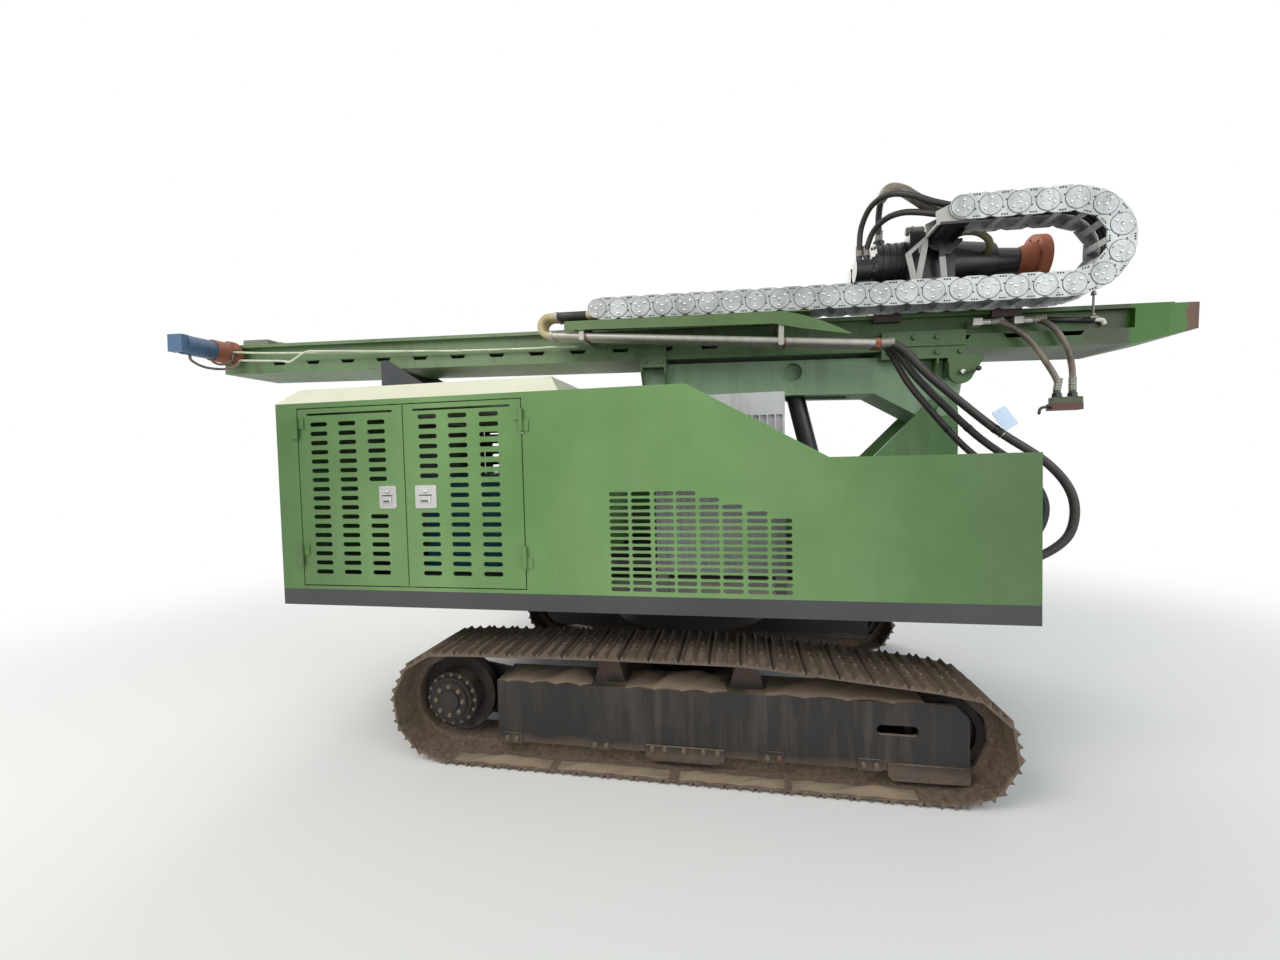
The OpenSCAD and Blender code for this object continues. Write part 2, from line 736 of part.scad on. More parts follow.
// Gusset across the shelf, drawn in Y and Z
rib_low = 200;
module clamp_rib(u) {
    both_sides() translate([u, 0, 0]) rotate([90, 0, 90]) linear_extrude(12)
        polygon([[arm_w / 2, rib_low], [arm_w / 2 + 16, rib_low], [clamp_y + clamp_t, arm_top - 60],
            [clamp_y + clamp_t, arm_top - 30 + eps], [arm_w / 2, arm_top - 30 + eps]]);
}
// Lug under the front clamp with its locking pin
lug_r = 68;
lug_at = [80, 225];
module pin_lug() {
    both_sides() {
        side_plate(clamp_y, clamp_y + clamp_t) {
            translate(lug_at) circle(r = lug_r);
            polygon([[lug_at[0] - lug_r, lug_at[1]], [lug_at[0] + 55, lug_at[1] - 40],
                [lug_at[0] + 120, arm_top - 40], [lug_at[0] + 120, arm_top - 10], [lug_at[0] - lug_r, arm_top - 10]]);
        }
        round_y(lug_at[0], lug_at[1], 14, clamp_y - 12, clamp_y + clamp_t + 24);
    }
}
module mast_clamps() {
    color(green_dark) on_arm() {
        for (g = [rear_clamp, front_clamp]) {
            clamp(g[0], g[1]);
            // Wear pad that the mast slides on
            block([g[0], -arm_w / 2, arm_top], [g[1], arm_w / 2, mast_low - seat]);
        }
        for (u = [rear_clamp[0], rear_clamp[1] - 12, -57, 5]) clamp_rib(u);
        pin_lug();
    }
}

// Mast section: box with ledge, recessed upper web and guide rails; [y, z] of one half
ledge_z = 98;
web_y = mast_half - 40;
rail_h = 24;
half_section = [[mast_half, 0], [mast_half, ledge_z - 8], [web_y, ledge_z], [web_y, mast_h - rail_h],
    [mast_half, mast_h - rail_h], [mast_half, mast_h], [mast_half - 110, mast_h],
    [mast_half - 110, mast_h - 40]];
lower_room = [[mast_half - 10, 10], [mast_half - 10, ledge_z - 22], [web_y - 10, ledge_z - 14]];
upper_room = [[web_y - 10, ledge_z - 4], [web_y - 10, mast_h - 52]];
function flip(p) = [for (i = [len(p) - 1:-1:0]) [-p[i][0], p[i][1]]];
module mast_section() {
    difference() {
        polygon(concat(half_section, flip(half_section)));
        polygon(concat(lower_room, flip(lower_room)));
        polygon(concat(upper_room, flip(upper_room)));
    }
}
slot_l = 125;
nose_u = mast_front - nose_l;
module mast() {
    length = mast_front - mast_rear;
    count = floor((length - 700) / slot_pitch);
    color(green_dark) on_arm() {
        // Bottom plate of the nose
        side_plate(-mast_half, mast_half)
            polygon([[nose_u, mast_low], [mast_front, mast_low + nose_rise],
                [mast_front, mast_low + nose_rise + 10], [nose_u, mast_low + 10]]);
        mast_body(length, count);
    }
}
module mast_body(length, count) {
    difference() {
        union() {
            translate([mast_rear, 0, mast_low]) rotate([90, 0, 90]) linear_extrude(length) mast_section();
            // Nose: plates that close the sides' recess
            both_sides() block([nose_u, web_y - 1, mast_low + ledge_z - 20],
                [mast_front, mast_half, mast_top - rail_h + 1]);
        }
        // Underside of the nose
        side_plate(-mast_half - 1, mast_half + 1)
            polygon([[nose_u, mast_low], [mast_front + 1, mast_low + nose_rise],
                [mast_front + 1, mast_low - 10], [nose_u, mast_low - 10]]);
        // The rails end before the front
        block([mast_front - 118, -mast_half - 1, mast_top - 6], [mast_front + 1, mast_half + 1, mast_top + 1]);
        for (i = [0:count - 1]) translate([mast_rear + 500 + i * slot_pitch, 0, mast_low]) {
            // Trapezoid slots under the ledge, on both sides
            side_plate(-mast_half - 1, -mast_half + 50)
                polygon([[-slot_l / 2, 84], [slot_l / 2, 84], [slot_l / 2 - 18, 58], [-slot_l / 2 + 18, 58]]);
            side_plate(mast_half - 50, mast_half + 1)
                polygon([[-slot_l / 2, 84], [slot_l / 2, 84], [slot_l / 2 - 18, 58], [-slot_l / 2 + 18, 58]]);
        }
    }
}

// Green tray that carries the lower chain run, hung on brackets from the mast's side
foot_low = mast_low + 149;
tray_rear = -2330;
tray_front = -600;
lip_h = 55;
beak_l = 430;
beak_drop = 145;
beak_u = tray_front - beak_l;
tray_feet = [tray_rear + 110, tray_front - 390];
tray_top = chain_low_w - chain_h / 2 - 5;
anchor_u = bend_u - chain_low_links * chain_pitch;
module chain_tray() {
    y0 = chain_y - chain_w / 2 - 15;
    y1 = -mast_half - seat;
    color(green) on_arm() {
        block([tray_rear, y0, tray_top - 6], [beak_u + beak_l / 2, y1 - 30, tray_top]);
        // Lip with a curved beak at its front end
        side_plate(y0 - 6, y0 + eps)
            polygon(concat([[tray_rear, tray_top], [tray_rear, tray_top - lip_h], [beak_u, tray_top - lip_h - 18],
                [beak_u + beak_l / 3, tray_top - lip_h - 50], [tray_front, tray_top - beak_drop - 6]],
                [for (i = [6:-1:0]) [beak_u + beak_l * i / 6, tray_top - beak_drop * pow(i / 6, 1.6)]]));
        for (u = tray_feet) {
            block([u - 20, y0 - 6, foot_low], [u + 20, -mast_half - 60, tray_top - 5]);
            block([u - 20, -mast_half - 90, foot_low - 25], [u + 20, -web_y - seat, foot_low + 20]);
        }
        // Anchor that holds the fixed end of the chain between its side plates
        block([anchor_u + 4, chain_y - chain_w / 2 + 10 + seat, tray_top - eps],
            [anchor_u + 16, chain_y + chain_w / 2 - 10 - seat, chain_low_w + 40]);
    }
}

// Hose chain: two side ribbons of link plates and cross bars. A link plate's outline has
// a notch at each pin; link_top is [share of pitch, height above the pin line].
link_top = [[0, chain_h / 2 - 10], [0.2, chain_h / 2], [0.8, chain_h / 2]];
knuckle_r = chain_h / 2 - 4;
bar_h = chain_h / 2 - 14;
function flank(p) = concat(
    [for (i = [0:len(p) - 2]) for (q = link_top) on_link(p[i], p[i + 1], q[0], q[1])],
    [on_link(p[len(p) - 2], p[len(p) - 1], 1, link_top[0][1])]);
function back(p) = [for (i = [len(p) - 1:-1:0]) p[i]];
// Side plates with round ends at the pins in discs, cut clear of those in sockets
module chain_run(p, discs, sockets) {
    for (s = [-1, 1]) {
        y0 = chain_y + s * (chain_w / 2 - 5) - 5;
        side_plate(y0, y0 + 10) difference() {
            union() {
                polygon(concat(flank(p), flank(back(p))));
                for (c = discs) translate(c) circle(r = knuckle_r);
            }
            for (c = sockets) translate(c) circle(r = knuckle_r + seat);
        }
    }
    // A bar along the top and one along the bottom of each link leave room for the hoses
    for (i = [0:len(p) - 2])
        translate([(p[i][0] + p[i + 1][0]) / 2, chain_y, (p[i][1] + p[i + 1][1]) / 2])
            rotate([0, -rise(p[i], p[i + 1]), 0]) for (h = [-bar_h, bar_h]) translate([0, 0, h])
                cube([36, chain_w - 10, 8], center = true);
}
bend_links = 5;
bend_r = chain_pitch / (2 * sin(90 / bend_links));
chain_up_w = chain_low_w + 2 * bend_r;
bend_c = [bend_u, chain_low_w + bend_r];
chain_end_u = bend_u - chain_up_links * chain_pitch;
low_end = [bend_u, chain_low_w];
up_end = [bend_u, chain_up_w];
module chain_lower() {
    color(steel) on_arm() chain_run([for (i = [0:chain_low_links])
        low_end - [(chain_low_links - i) * chain_pitch, 0]], [low_end], []);
}
module chain_bend() {
    color(steel) on_arm() chain_run(arc(bend_c, bend_r, -90, 90, bend_links), [], [low_end, up_end]);
}
module chain_upper() {
    color(steel) on_arm() chain_run([for (i = [0:chain_up_links])
        up_end - [i * chain_pitch, 0]], [up_end, [chain_end_u, chain_up_w]], []);
}

// Feed motor and gearbox across the mast's rear end
feed_u = mast_rear + 99;
feed_w = 515;
module feed_gearbox() {
    color("#8a4a32") on_arm() {
        round_y(feed_u, feed_w, 80, -mast_half - 190, -mast_half - seat);
        round_y(feed_u, feed_w, 95, -mast_half - 60, -mast_half - 20);
        round_y(feed_u, feed_w, 42, -mast_half - 1, -web_y - seat);
    }
}
module feed_motor() {
    color("#2f5f8f") on_arm() {
        round_y(feed_u, feed_w, 70, -mast_half - 400, -mast_half - 190 - seat);
        block([feed_u - 60, -mast_half - 450, feed_w - 60], [feed_u + 60, -mast_half - 400 + eps, feed_w + 60]);
    }
}
module chain_tensioner() {
    color("#77776f") on_arm() {
        block([mast_rear + 34, -110, mast_top - 40 + seat], [mast_rear + 264, 110, mast_top + 70]);
        block([mast_rear + 264 - eps, -40, mast_top + 40], [mast_rear + 324, 40, mast_top + 60]);
    }
}

// Steel pipes on the mast's right side, clamped under the tray's feet, and two hose ports
pipe_ys = [-470, -420, -370];
pipe_rs = [22, 20, 18];
pipe_a = [-2440, 500];
pipe_b = [-430, 372];
function pipe_w(u) = pipe_a[1] + (pipe_b[1] - pipe_a[1]) * (u - pipe_a[0]) / (pipe_b[0] - pipe_a[0]);
port_us = [160, 380];
port_w = mast_low + 150;
module pipe_run(a, b, r) {
    d = b - a;
    translate(a) rotate([0, atan2(norm([d[0], d[1]]), d[2]), atan2(d[1], d[0])])
        cylinder(r = r, h = norm(d));
}
module mast_pipes() {
    color(steel) on_arm() {
        for (i = [0:2])
            pipe_run([pipe_a[0], pipe_ys[i], pipe_a[1]], [pipe_b[0], pipe_ys[i], pipe_b[1]], pipe_rs[i]);
        for (u = tray_feet)
            block([u - 15, pipe_ys[0] - 30, pipe_w(u) - 28], [u + 15, pipe_ys[2] + 28, foot_low - seat]);
        // Ports on the mast's side for the coupling hoses
        for (u = port_us) {
            block([u - 30, -mast_half - 45, port_w - 20], [u + 20, -web_y - seat, port_w + 20]);
            translate([u + 20 - eps, -mast_half - 25, port_w]) rotate([0, 90, 0])
                cylinder(r = 16, h = 50);
        }
    }
}
elbow_r = 60;
module hose_elbows() {
    color("#b8a98a") on_arm() for (i = [0:2]) {
        translate([pipe_a[0] - 2, pipe_ys[i], pipe_a[1] + elbow_r]) rotate([90, 0, 0])
            rotate_extrude(angle = 180, start = 90) translate([elbow_r, 0]) circle(r = pipe_rs[i]);
        translate([pipe_a[0] - 2 - eps, pipe_ys[i], pipe_a[1] + 2 * elbow_r]) rotate([0, 90, 0])
            cylinder(r = pipe_rs[i], h = anchor_u - pipe_a[0] - 20);
    }
}

// Head: sledge on the rails, gearbox with two motors, drive flange
rail_gap = 5;
module head_sledge() {
    color(black) on_arm() {
        block([-420, -mast_half - 20, mast_top + seat], [400, mast_half + 20, mast_top + 45]);
        for (s = [-1, 1]) for (u = [-420, 240]) {
            y0 = s * (mast_half + rail_gap);
            y1 = s * (mast_half + 20);
            block([u, min(y0, y1), mast_top - rail_h - 22], [u + 160, max(y0, y1), mast_top + 45]);
            block([u, min(s * (mast_half - 25), y1), mast_top - rail_h - 22],
                [u + 160, max(s * (mast_half - 25), y1), mast_top - rail_h - rail_gap]);
        }
        // Saddle plates that carry the gearbox
        for (u = [-100, 230])
            block([u, -150, mast_top + 45 - eps], [u + 30, 150, spindle_w - max(130, cone_at(u) + seat)]);
    }
}
module along_spindle(u0, u1, r0, r1) {
    translate([u0, 0, spindle_w]) rotate([0, 90, 0]) cylinder(r1 = r0, r2 = r1, h = u1 - u0);
}
// Radius of the gearbox's cone along the spindle
function cone_at(u) = u < 60 ? 0 : 150 - 30 * (u - 60) / 270;
module head_gearbox() {
    color(black) on_arm() difference() {
        union() {
            block([-200, -190, spindle_w - 130 + seat], [60, 190, spindle_w + 150]);
            along_spindle(60 - eps, 330, 150, 120);
            along_spindle(330 - eps, 470, 90, 80);
        }
        along_spindle(300, 471, 50.05, 50.05);
    }
}
// Ribbed drum on the gearbox with two motors behind it; two ports on the right motor
drum_u = -375;
drum_w = spindle_w + 14;
motor_r = 70;
motor_w = spindle_w - 30;
motor_y = 85;
motor_ports = [head_rear + 28, head_rear + 72];
module head_motors() {
    color(black) on_arm() {
        translate([drum_u, 0, drum_w]) rotate([0, 90, 0]) {
            cylinder(r = drum_r - 6, h = -200 - drum_u - seat);
            for (d = [0, 40, 80, 120, 155]) translate([0, 0, d]) cylinder(r = drum_r, h = 16);
        }
        both_sides() {
            translate([head_rear, motor_y, motor_w]) rotate([0, 90, 0]) cylinder(r = motor_r, h = drum_u - head_rear + eps);
            translate([drum_u - 22, motor_y, motor_w]) rotate([0, 90, 0]) cylinder(r = motor_r + 12, h = 22 + eps);
        }
        for (u = motor_ports) translate([u, -motor_y, motor_w]) cylinder(r = 19, h = motor_top - motor_w);
        translate([drum_port_u, 0, drum_w]) cylinder(r = 36, h = drum_top - drum_w);
    }
}
motor_top = motor_w + motor_r + 18;
drum_top = drum_w + drum_r + 20;
drum_port_u = -335;
module drive_flange() {
    color("#9c5a3c") on_arm() difference() {
        union() {
            along_spindle(310, 480, 50, 50);
            along_spindle(476, 560, 80, 110);
            along_spindle(560 - eps, flange_u, flange_r, flange_r);
        }
        for (i = [0:7]) rotate_spindle(i * 45) translate([540, 0, 120]) rotate([0, 90, 0])
            cylinder(r = 11, h = 100);
        along_spindle(flange_u - 60, flange_u + 1, 60, 60);
    }
}
module rotate_spindle(a) {
    translate([0, 0, spindle_w]) rotate([a, 0, 0]) children();
}
// Grey end of the hose chain: two tapered plates between the last links, the bulkhead that
// takes the head's hoses, and flat stays down to the sledge
bulkhead_u = chain_end_u + 40;
end_y = chain_w / 2 - 12;
stay_y = -mast_half - 8;
rest_w = chain_up_w - chain_h / 2;
stays = [[[-130, -290, -74], [-238, -290, -170]], [[-238, -290, -170], [-152, stay_y, 0]],
    [[-140, -290, -84], [-190, stay_y, 0]], [[-48, -262, -110], [-4, stay_y, 0]]];
module stay_end(p, low) {
    z = p[2] == 0 ? low : chain_up_w + p[2];
    translate([p[0] - 17, p[1] - 5, z]) cube([34, 10, 1]);
}
module chain_end() {
    color(steel) on_arm() {
        for (s = [-1, 1])
            side_plate(chain_y + s * (end_y - 6) - 6, chain_y + s * (end_y - 6) + 6)
                polygon([[chain_end_u + 48, chain_up_w + 46], [chain_end_u, chain_up_w + 50],
                    [chain_end_u - 133, chain_up_w - 10], [chain_end_u - 125, rest_w], [chain_end_u + 48, rest_w]]);
        block([bulkhead_u, chain_y - end_y + 12 - eps, rest_w],
            [bulkhead_u + 8, chain_y + end_y - 12 + eps, chain_up_w + 46]);
    }
}
// Bracket that carries the chain's end on the gearbox
module chain_bracket() {
    top = rest_w - seat;
    color(black) on_arm() {
        block([-150, -203, spindle_w + 20], [60, -190 - seat, top]);
        block([chain_end_u - 125, chain_y - end_y, top - 14], [chain_end_u + 45, -190 - seat, top]);
        // Web and crosswise gussets under the top plate
        side_plate(-262, -250)
            polygon([[chain_end_u - 125, top - 14 + eps], [chain_end_u - 80, top - 66], [chain_end_u + 20, top - 107],
                [chain_end_u + 90, top - 30], [chain_end_u + 90, top - 14 + eps]]);
        for (u = [chain_end_u - 90, chain_end_u + 30]) translate([u, 0, 0]) rotate([90, 0, 90]) linear_extrude(12)
            polygon([[-203 + eps, spindle_w + 40], [-203 + eps, top - 14 + eps], [chain_y - end_y + 40, top - 14 + eps],
                [chain_y - end_y + 40, top - 30]]);
        // Flat stays from the top plate down to the sledge
        for (q = stays) hull() {
            stay_end(q[0], mast_top + 45 + seat);
            stay_end(q[1], mast_top + 45 + seat);
        }
    }
}

// Coupling block that hangs on two hoses from the mast's right side
block_at = [620, -290, 30];
module coupling_block() {
    color("#5d3a2c") on_arm() translate(block_at) {
        rotate([0, -travel_tilt, 0]) {
            translate([-80, -30, -45]) cube([160, 60, 40]);
            translate([-70, -26, -5 - eps]) cube([150, 52, 35]);
            for (x = [-40, 40]) translate([x, 0, 30 - eps]) cylinder(r = 18, h = 40);
        }
    }
}

// Hoses: round points, radius and steps between rings. Those of the boom are in the
// machine's frame, the others in the arm's.
function unit(v) = v / norm(v);
function bez(p, i, t) =
    let (n = len(p) - 1, a = p[max(i - 1, 0)], b = p[i], c = p[i + 1], d = p[min(i + 2, n)])
    0.5 * (2 * b + (c - a) * t + (2 * a - 5 * b + 4 * c - d) * t * t
        + (3 * b - a - 3 * c + d) * t * t * t);
function smooth(p, n) = concat(
    [for (i = [0:len(p) - 2]) for (k = [0:n - 1]) bez(p, i, k / n)], [p[len(p) - 1]]);
function tangent(q, i) = unit(q[min(i + 1, len(q) - 1)] - q[max(i - 1, 0)]);
sides = 8;
function ring(c, t, r, side) =
    let (u = unit(cross(t, side)), v = cross(t, u))
    [for (k = [0:sides - 1]) c + r * (u * cos(k * 360 / sides) + v * sin(k * 360 / sides))];
module hose(p, r, n, side = [0.11, 1, 0.07]) {
    q = smooth(p, n);
    m = len(q);
    points = [for (i = [0:m - 1]) each ring(q[i], tangent(q, i), r, side)];
    faces = concat(
        [[for (k = [0:sides - 1]) k]],
        [for (i = [0:m - 2]) for (k = [0:sides - 1]) for (f = [0, 1])
            let (a = i * sides + k, b = i * sides + (k + 1) % sides)
            f == 0 ? [a, a + sides, b + sides] : [a, b + sides, b]],
        [[for (k = [sides - 1:-1:0]) (m - 1) * sides + k]]);
    color(black) polyhedron(points, faces, convexity = 4);
}
// Point over the coupling block's middle, x along the ground and z up
function on_block(x, z) = block_at + [x * cos(travel_tilt) - z * sin(travel_tilt), 0,
    x * sin(travel_tilt) + z * cos(travel_tilt)];
port_y = -mast_half - 25;
coupling_hose_a_points = [[port_us[0] + 70 + seat, port_y, port_w], [port_us[0] + 115, port_y, port_w],
    [335, -285, 476], [420, -295, 400], [500, -293, 290], on_block(-40, 130), on_block(-40, 70 + seat)];
coupling_hose_b_points = [[port_us[1] + 70 + seat, port_y, port_w], [port_us[1] + 118, port_y, port_w],
    [570, -278, 450], [625, -288, 345], [650, -290, 240], on_block(40, 130), on_block(40, 70 + seat)];
// Start of a boom hose on the end of pipe i, d further along it
pipe_slope = atan2(pipe_b[1] - pipe_a[1], pipe_b[0] - pipe_a[0]);
function after_pipe(i, d) =
    from_arm(pipe_b[0] + d * cos(pipe_slope), pipe_ys[i], pipe_b[1] + d * sin(pipe_slope));
valve_end = [valve_x + seat, 0, 0];
boom_hose_a_points = [after_pipe(0, seat), after_pipe(0, 52), [1660, -471, 2225], [1790, -480, 2070],
    [2096, -500, 1775], [2370, -510, 1560], [2490, -510, 1370], [2470, -510, 1170],
    [2320, -505, 1045], [2140, -500, 1000], valve_end + [0, -500, 1000]];
boom_hose_b_points = [after_pipe(1, seat), after_pipe(1, 52), [1645, -419, 2215], [1760, -415, 2050],
    [2050, -415, 1735], [2290, -420, 1530], [2395, -425, 1350], [2370, -425, 1190],
    [2250, -425, 1080], [2130, -425, 1040], valve_end + [0, -425, 1040]];
boom_hose_c_points = [after_pipe(2, seat), after_pipe(2, 52), [1630, -368, 2200], [1730, -366, 2020],
    [1990, -365, 1690], [2190, -365, 1500], [2280, -365, 1340], [2255, -365, 1210],
    [2180, -365, 1110], [2090, -365, 1065], valve_end + [0, -365, 1065]];
head_hose_a_points = [[motor_ports[0], -motor_y, motor_top + seat], [motor_ports[0], -motor_y, 1053],
    [-470, -118, 1180], [-435, -208, 1269], [-360, -315, 1283], [-263, -390, 1237], [-153, -424, 1173],
    [bulkhead_u - 48, -430, 1133], [bulkhead_u - seat, -430, 1133]];
head_hose_b_points = [[motor_ports[1], -motor_y, motor_top + seat], [motor_ports[1], -motor_y, 1053],
    [-402, -130, 1144], [-350, -210, 1185], [-284, -292, 1180], [-211, -359, 1148], [-127, -407, 1109],
    [bulkhead_u - 48, -430, 1083], [bulkhead_u - seat, -430, 1083]];
head_hose_c_points = [[drum_port_u, 0, drum_top + seat], [drum_port_u, 0, 1174], [-345, -30, 1279],
    [-350, -112, 1351], [-332, -220, 1359], [-285, -304, 1307], [-217, -346, 1232], [-132, -353, 1164],
    [bulkhead_u - 48, -347, 1128], [bulkhead_u - seat, -347, 1128]];
module coupling_hose_a() { on_arm() hose(coupling_hose_a_points, 16, 1); }
module coupling_hose_b() { on_arm() hose(coupling_hose_b_points, 16, 1); }
module boom_hose_a() { hose(boom_hose_a_points, pipe_rs[0] + 1, 1); }
module boom_hose_b() { hose(boom_hose_b_points, pipe_rs[1] + 1, 1); }
module boom_hose_c() { hose(boom_hose_c_points, pipe_rs[2] + 1, 1); }
module head_hose_a() { on_arm() hose(head_hose_a_points, 18, 1, [1, 1, 0.1]); }
module head_hose_b() { on_arm() hose(head_hose_b_points, 18, 1, [1, 1, 0.1]); }
module head_hose_c() { on_arm() hose(head_hose_c_points, 20, 1, [1, 1, 0.1]); }

car_body();
track_frames();
track_right();
track_left();
final_drives();
idlers();
rollers();
base_frame();
engine_housing();
roof();
side_panel_right();
side_panel_left();
power_unit();
hydraulic_tank();
valve_block();
oil_cooler();
mast_rest();
pivot_bracket();
door_right_rear();
door_right_front();
door_left_rear();
door_left_front();
arm();
mast_clamps();
cylinder_barrel();
cylinder_rod();
mast();
chain_tray();
feed_motor();
feed_gearbox();
chain_tensioner();
mast_pipes();
hose_elbows();
chain_lower();
chain_bend();
chain_upper();
head_sledge();
head_gearbox();
head_motors();
chain_bracket();
chain_end();
drive_flange();
coupling_block();
coupling_hose_a();
coupling_hose_b();
boom_hose_a();
boom_hose_b();
boom_hose_c();
head_hose_a();
head_hose_b();
head_hose_c();
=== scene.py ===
"""Finish of a compact tracked rotary piling rig, laid down for transport.

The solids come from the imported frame. This file adds paint, grime, hoses, fasteners and
trim, the floor, the lamps and the camera. Lengths are in metres, +X to the working end.
"""

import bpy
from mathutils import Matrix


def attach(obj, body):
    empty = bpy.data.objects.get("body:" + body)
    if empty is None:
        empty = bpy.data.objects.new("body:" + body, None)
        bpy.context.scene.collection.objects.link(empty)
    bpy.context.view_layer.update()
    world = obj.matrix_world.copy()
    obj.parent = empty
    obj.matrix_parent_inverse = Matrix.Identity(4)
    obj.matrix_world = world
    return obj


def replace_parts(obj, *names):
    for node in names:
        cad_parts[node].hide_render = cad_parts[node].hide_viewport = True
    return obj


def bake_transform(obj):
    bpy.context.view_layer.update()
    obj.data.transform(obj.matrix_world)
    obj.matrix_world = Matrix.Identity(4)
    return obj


bl_info = {
    "name": "Rotary piling rig finish",
    "version": (1, 0, 0),
    "blender": (4, 5, 0),
    "location": "3D View > Sidebar > Piling rig",
    "description": "Paint, hoses, fasteners and trim for a rotary piling rig",
    "category": "Object",
}

from math import acos, atan2, cos, pi, radians, sin, sqrt

import bmesh
import bpy
import numpy as np
from mathutils import Matrix
from bpy.props import FloatProperty, FloatVectorProperty, IntProperty, PointerProperty

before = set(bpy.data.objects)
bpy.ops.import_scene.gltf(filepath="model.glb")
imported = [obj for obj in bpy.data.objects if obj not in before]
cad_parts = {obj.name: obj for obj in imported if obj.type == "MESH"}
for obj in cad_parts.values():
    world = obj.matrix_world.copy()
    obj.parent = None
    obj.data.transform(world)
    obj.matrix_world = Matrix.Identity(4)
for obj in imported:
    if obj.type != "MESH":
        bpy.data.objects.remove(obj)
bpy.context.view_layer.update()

# Pivot pin of the arm and its slope in transport, as the solids have them
PIN_X, PIN_Z = 1.948, 1.896
TILT = radians(1.5)


def linear(code):
    """Linear RGBA of a colour written as six hex digits."""
    srgb = np.array([int(code[i:i + 2], 16) for i in (0, 2, 4)]) / 255
    value = np.where(srgb <= 0.04045, srgb / 12.92, ((srgb + 0.055) / 1.055) ** 2.4)
    return (*value.tolist(), 1.0)


def columns(*values):
    """Arrays and numbers side by side, as the columns of one array."""
    return np.stack(np.broadcast_arrays(*values), axis=-1)


def arm_points(points):
    """Points of the arm's frame, in millimetres, turned and moved into the rig's frame."""
    p = np.asarray(points, float).reshape(-1, 3) / 1000
    c, s = cos(TILT), sin(TILT)
    return columns(PIN_X + p[:, 0] * c + p[:, 2] * s, p[:, 1],
                   PIN_Z - p[:, 0] * s + p[:, 2] * c)


# Surfaces

def unit(v):
    """Vectors divided by their lengths."""
    return v / np.maximum(np.linalg.norm(v, axis=-1, keepdims=True), 1e-12)


def smooth_line(points, step):
    """Catmull-Rom curve through points: on each span the cubic whose ends have the slopes
    of the chords around them, sampled about every step metres."""
    p = np.asarray(points, float)
    ends = np.vstack([2 * p[:1] - p[1:2], p, 2 * p[-1:] - p[-2:-1]])
    spans = np.maximum(1, np.ceil(np.linalg.norm(p[1:] - p[:-1], axis=1) / step)).astype(int)
    index = np.repeat(np.arange(len(spans)), spans)
    first = np.repeat(np.cumsum(spans) - spans, spans)
    t = ((np.arange(spans.sum()) - first) / np.repeat(spans, spans))[:, None]
    a, b, c, d = (ends[index + k] for k in range(4))
    line = 0.5 * (2 * b + (c - a) * t + (2 * a - 5 * b + 4 * c - d) * t ** 2
                  + (3 * b - a - 3 * c + d) * t ** 3)
    return np.vstack([line, p[-1:]])


def line_length(line):
    """Sum of the distances between neighbouring points."""
    return float(np.linalg.norm(np.diff(line, axis=0), axis=1).sum())


def ring_faces(rows, count):
    """Quads between rings of count points each, with both ends capped."""
    i, k = np.meshgrid(np.arange(rows - 1), np.arange(count), indexing="ij")
    a, b = i * count + k, i * count + (k + 1) % count
    quads = columns(a, b, b + count, a + count).reshape(-1, 4).tolist()
    return quads + [list(range(count))[::-1], list(range((rows - 1) * count, rows * count))]


def tube(line, radius, sides, side):
    """Circle of the given radius, a number or one per ring, carried along line; side is a
    direction that the line never takes, from which the rings' axes are made."""
    t = unit(np.gradient(line, axis=0))
    u = unit(np.cross(t, side))
    v = np.cross(t, u)
    a = np.arange(sides) * 2 * pi / sides
    spokes = np.cos(a)[:, None] * u[:, None] + np.sin(a)[:, None] * v[:, None]
    rings = line[:, None] + np.reshape(radius, (-1, 1, 1)) * spokes
    return rings.reshape(-1, 3), ring_faces(len(line), sides)


def turned(profile, sides):
    """Profile of (radius, height) pairs carried round the Z axis."""
    p = np.asarray(profile, float)
    a = np.arange(sides) * 2 * pi / sides
    points = columns(p[:, :1] * np.cos(a), p[:, :1] * np.sin(a), p[:, 1:])
    return points.reshape(-1, 3), ring_faces(len(p), sides)


def facing(normal, spin=0.0):
    """3x3 matrix that turns +Z to normal, spun about it."""
    n = unit(np.asarray(normal, float))
    ref = np.array([0.0, 0.0, 1.0]) if abs(n[2]) < 0.9 else np.array([1.0, 0.0, 0.0])
    x = unit(np.cross(ref, n))
    y = np.cross(n, x)
    c, s = cos(spin), sin(spin)
    return np.stack([c * x + s * y, c * y - s * x, n], axis=1)


def copies(shape, places, turns):
    """Shape repeated at places, each copy turned by its 3x3 matrix (or all by one)."""
    points, faces = shape
    places = np.asarray(places, float).reshape(-1, 3)
    turns = np.broadcast_to(turns, (len(places), 3, 3))
    out = np.einsum("mij,kj->mki", turns, points) + places[:, None]
    count = len(points)
    many = [[i + m * count for i in f] for m in range(len(places)) for f in faces]
    return out.reshape(-1, 3), many


def joined(*shapes):
    """Several shapes as one."""
    points, faces, start = [], [], 0
    for p, f in shapes:
        points.append(p)
        faces += [[i + start for i in face] for face in f]
        start += len(p)
    return np.vstack(points), faces


def slab(x0, x1, y0, y1, z0, z1, edge):
    """Box with chamfered upper edges: three rings of corners, the top one drawn in."""
    points = [(x, y, z) for e, z in ((0, z0), (0, z1 - edge), (edge, z1)) for x, y in (
        (x0 + e, y0 + e), (x1 - e, y0 + e), (x1 - e, y1 - e), (x0 + e, y1 - e))]
    return np.array(points, float), ring_faces(3, 4)


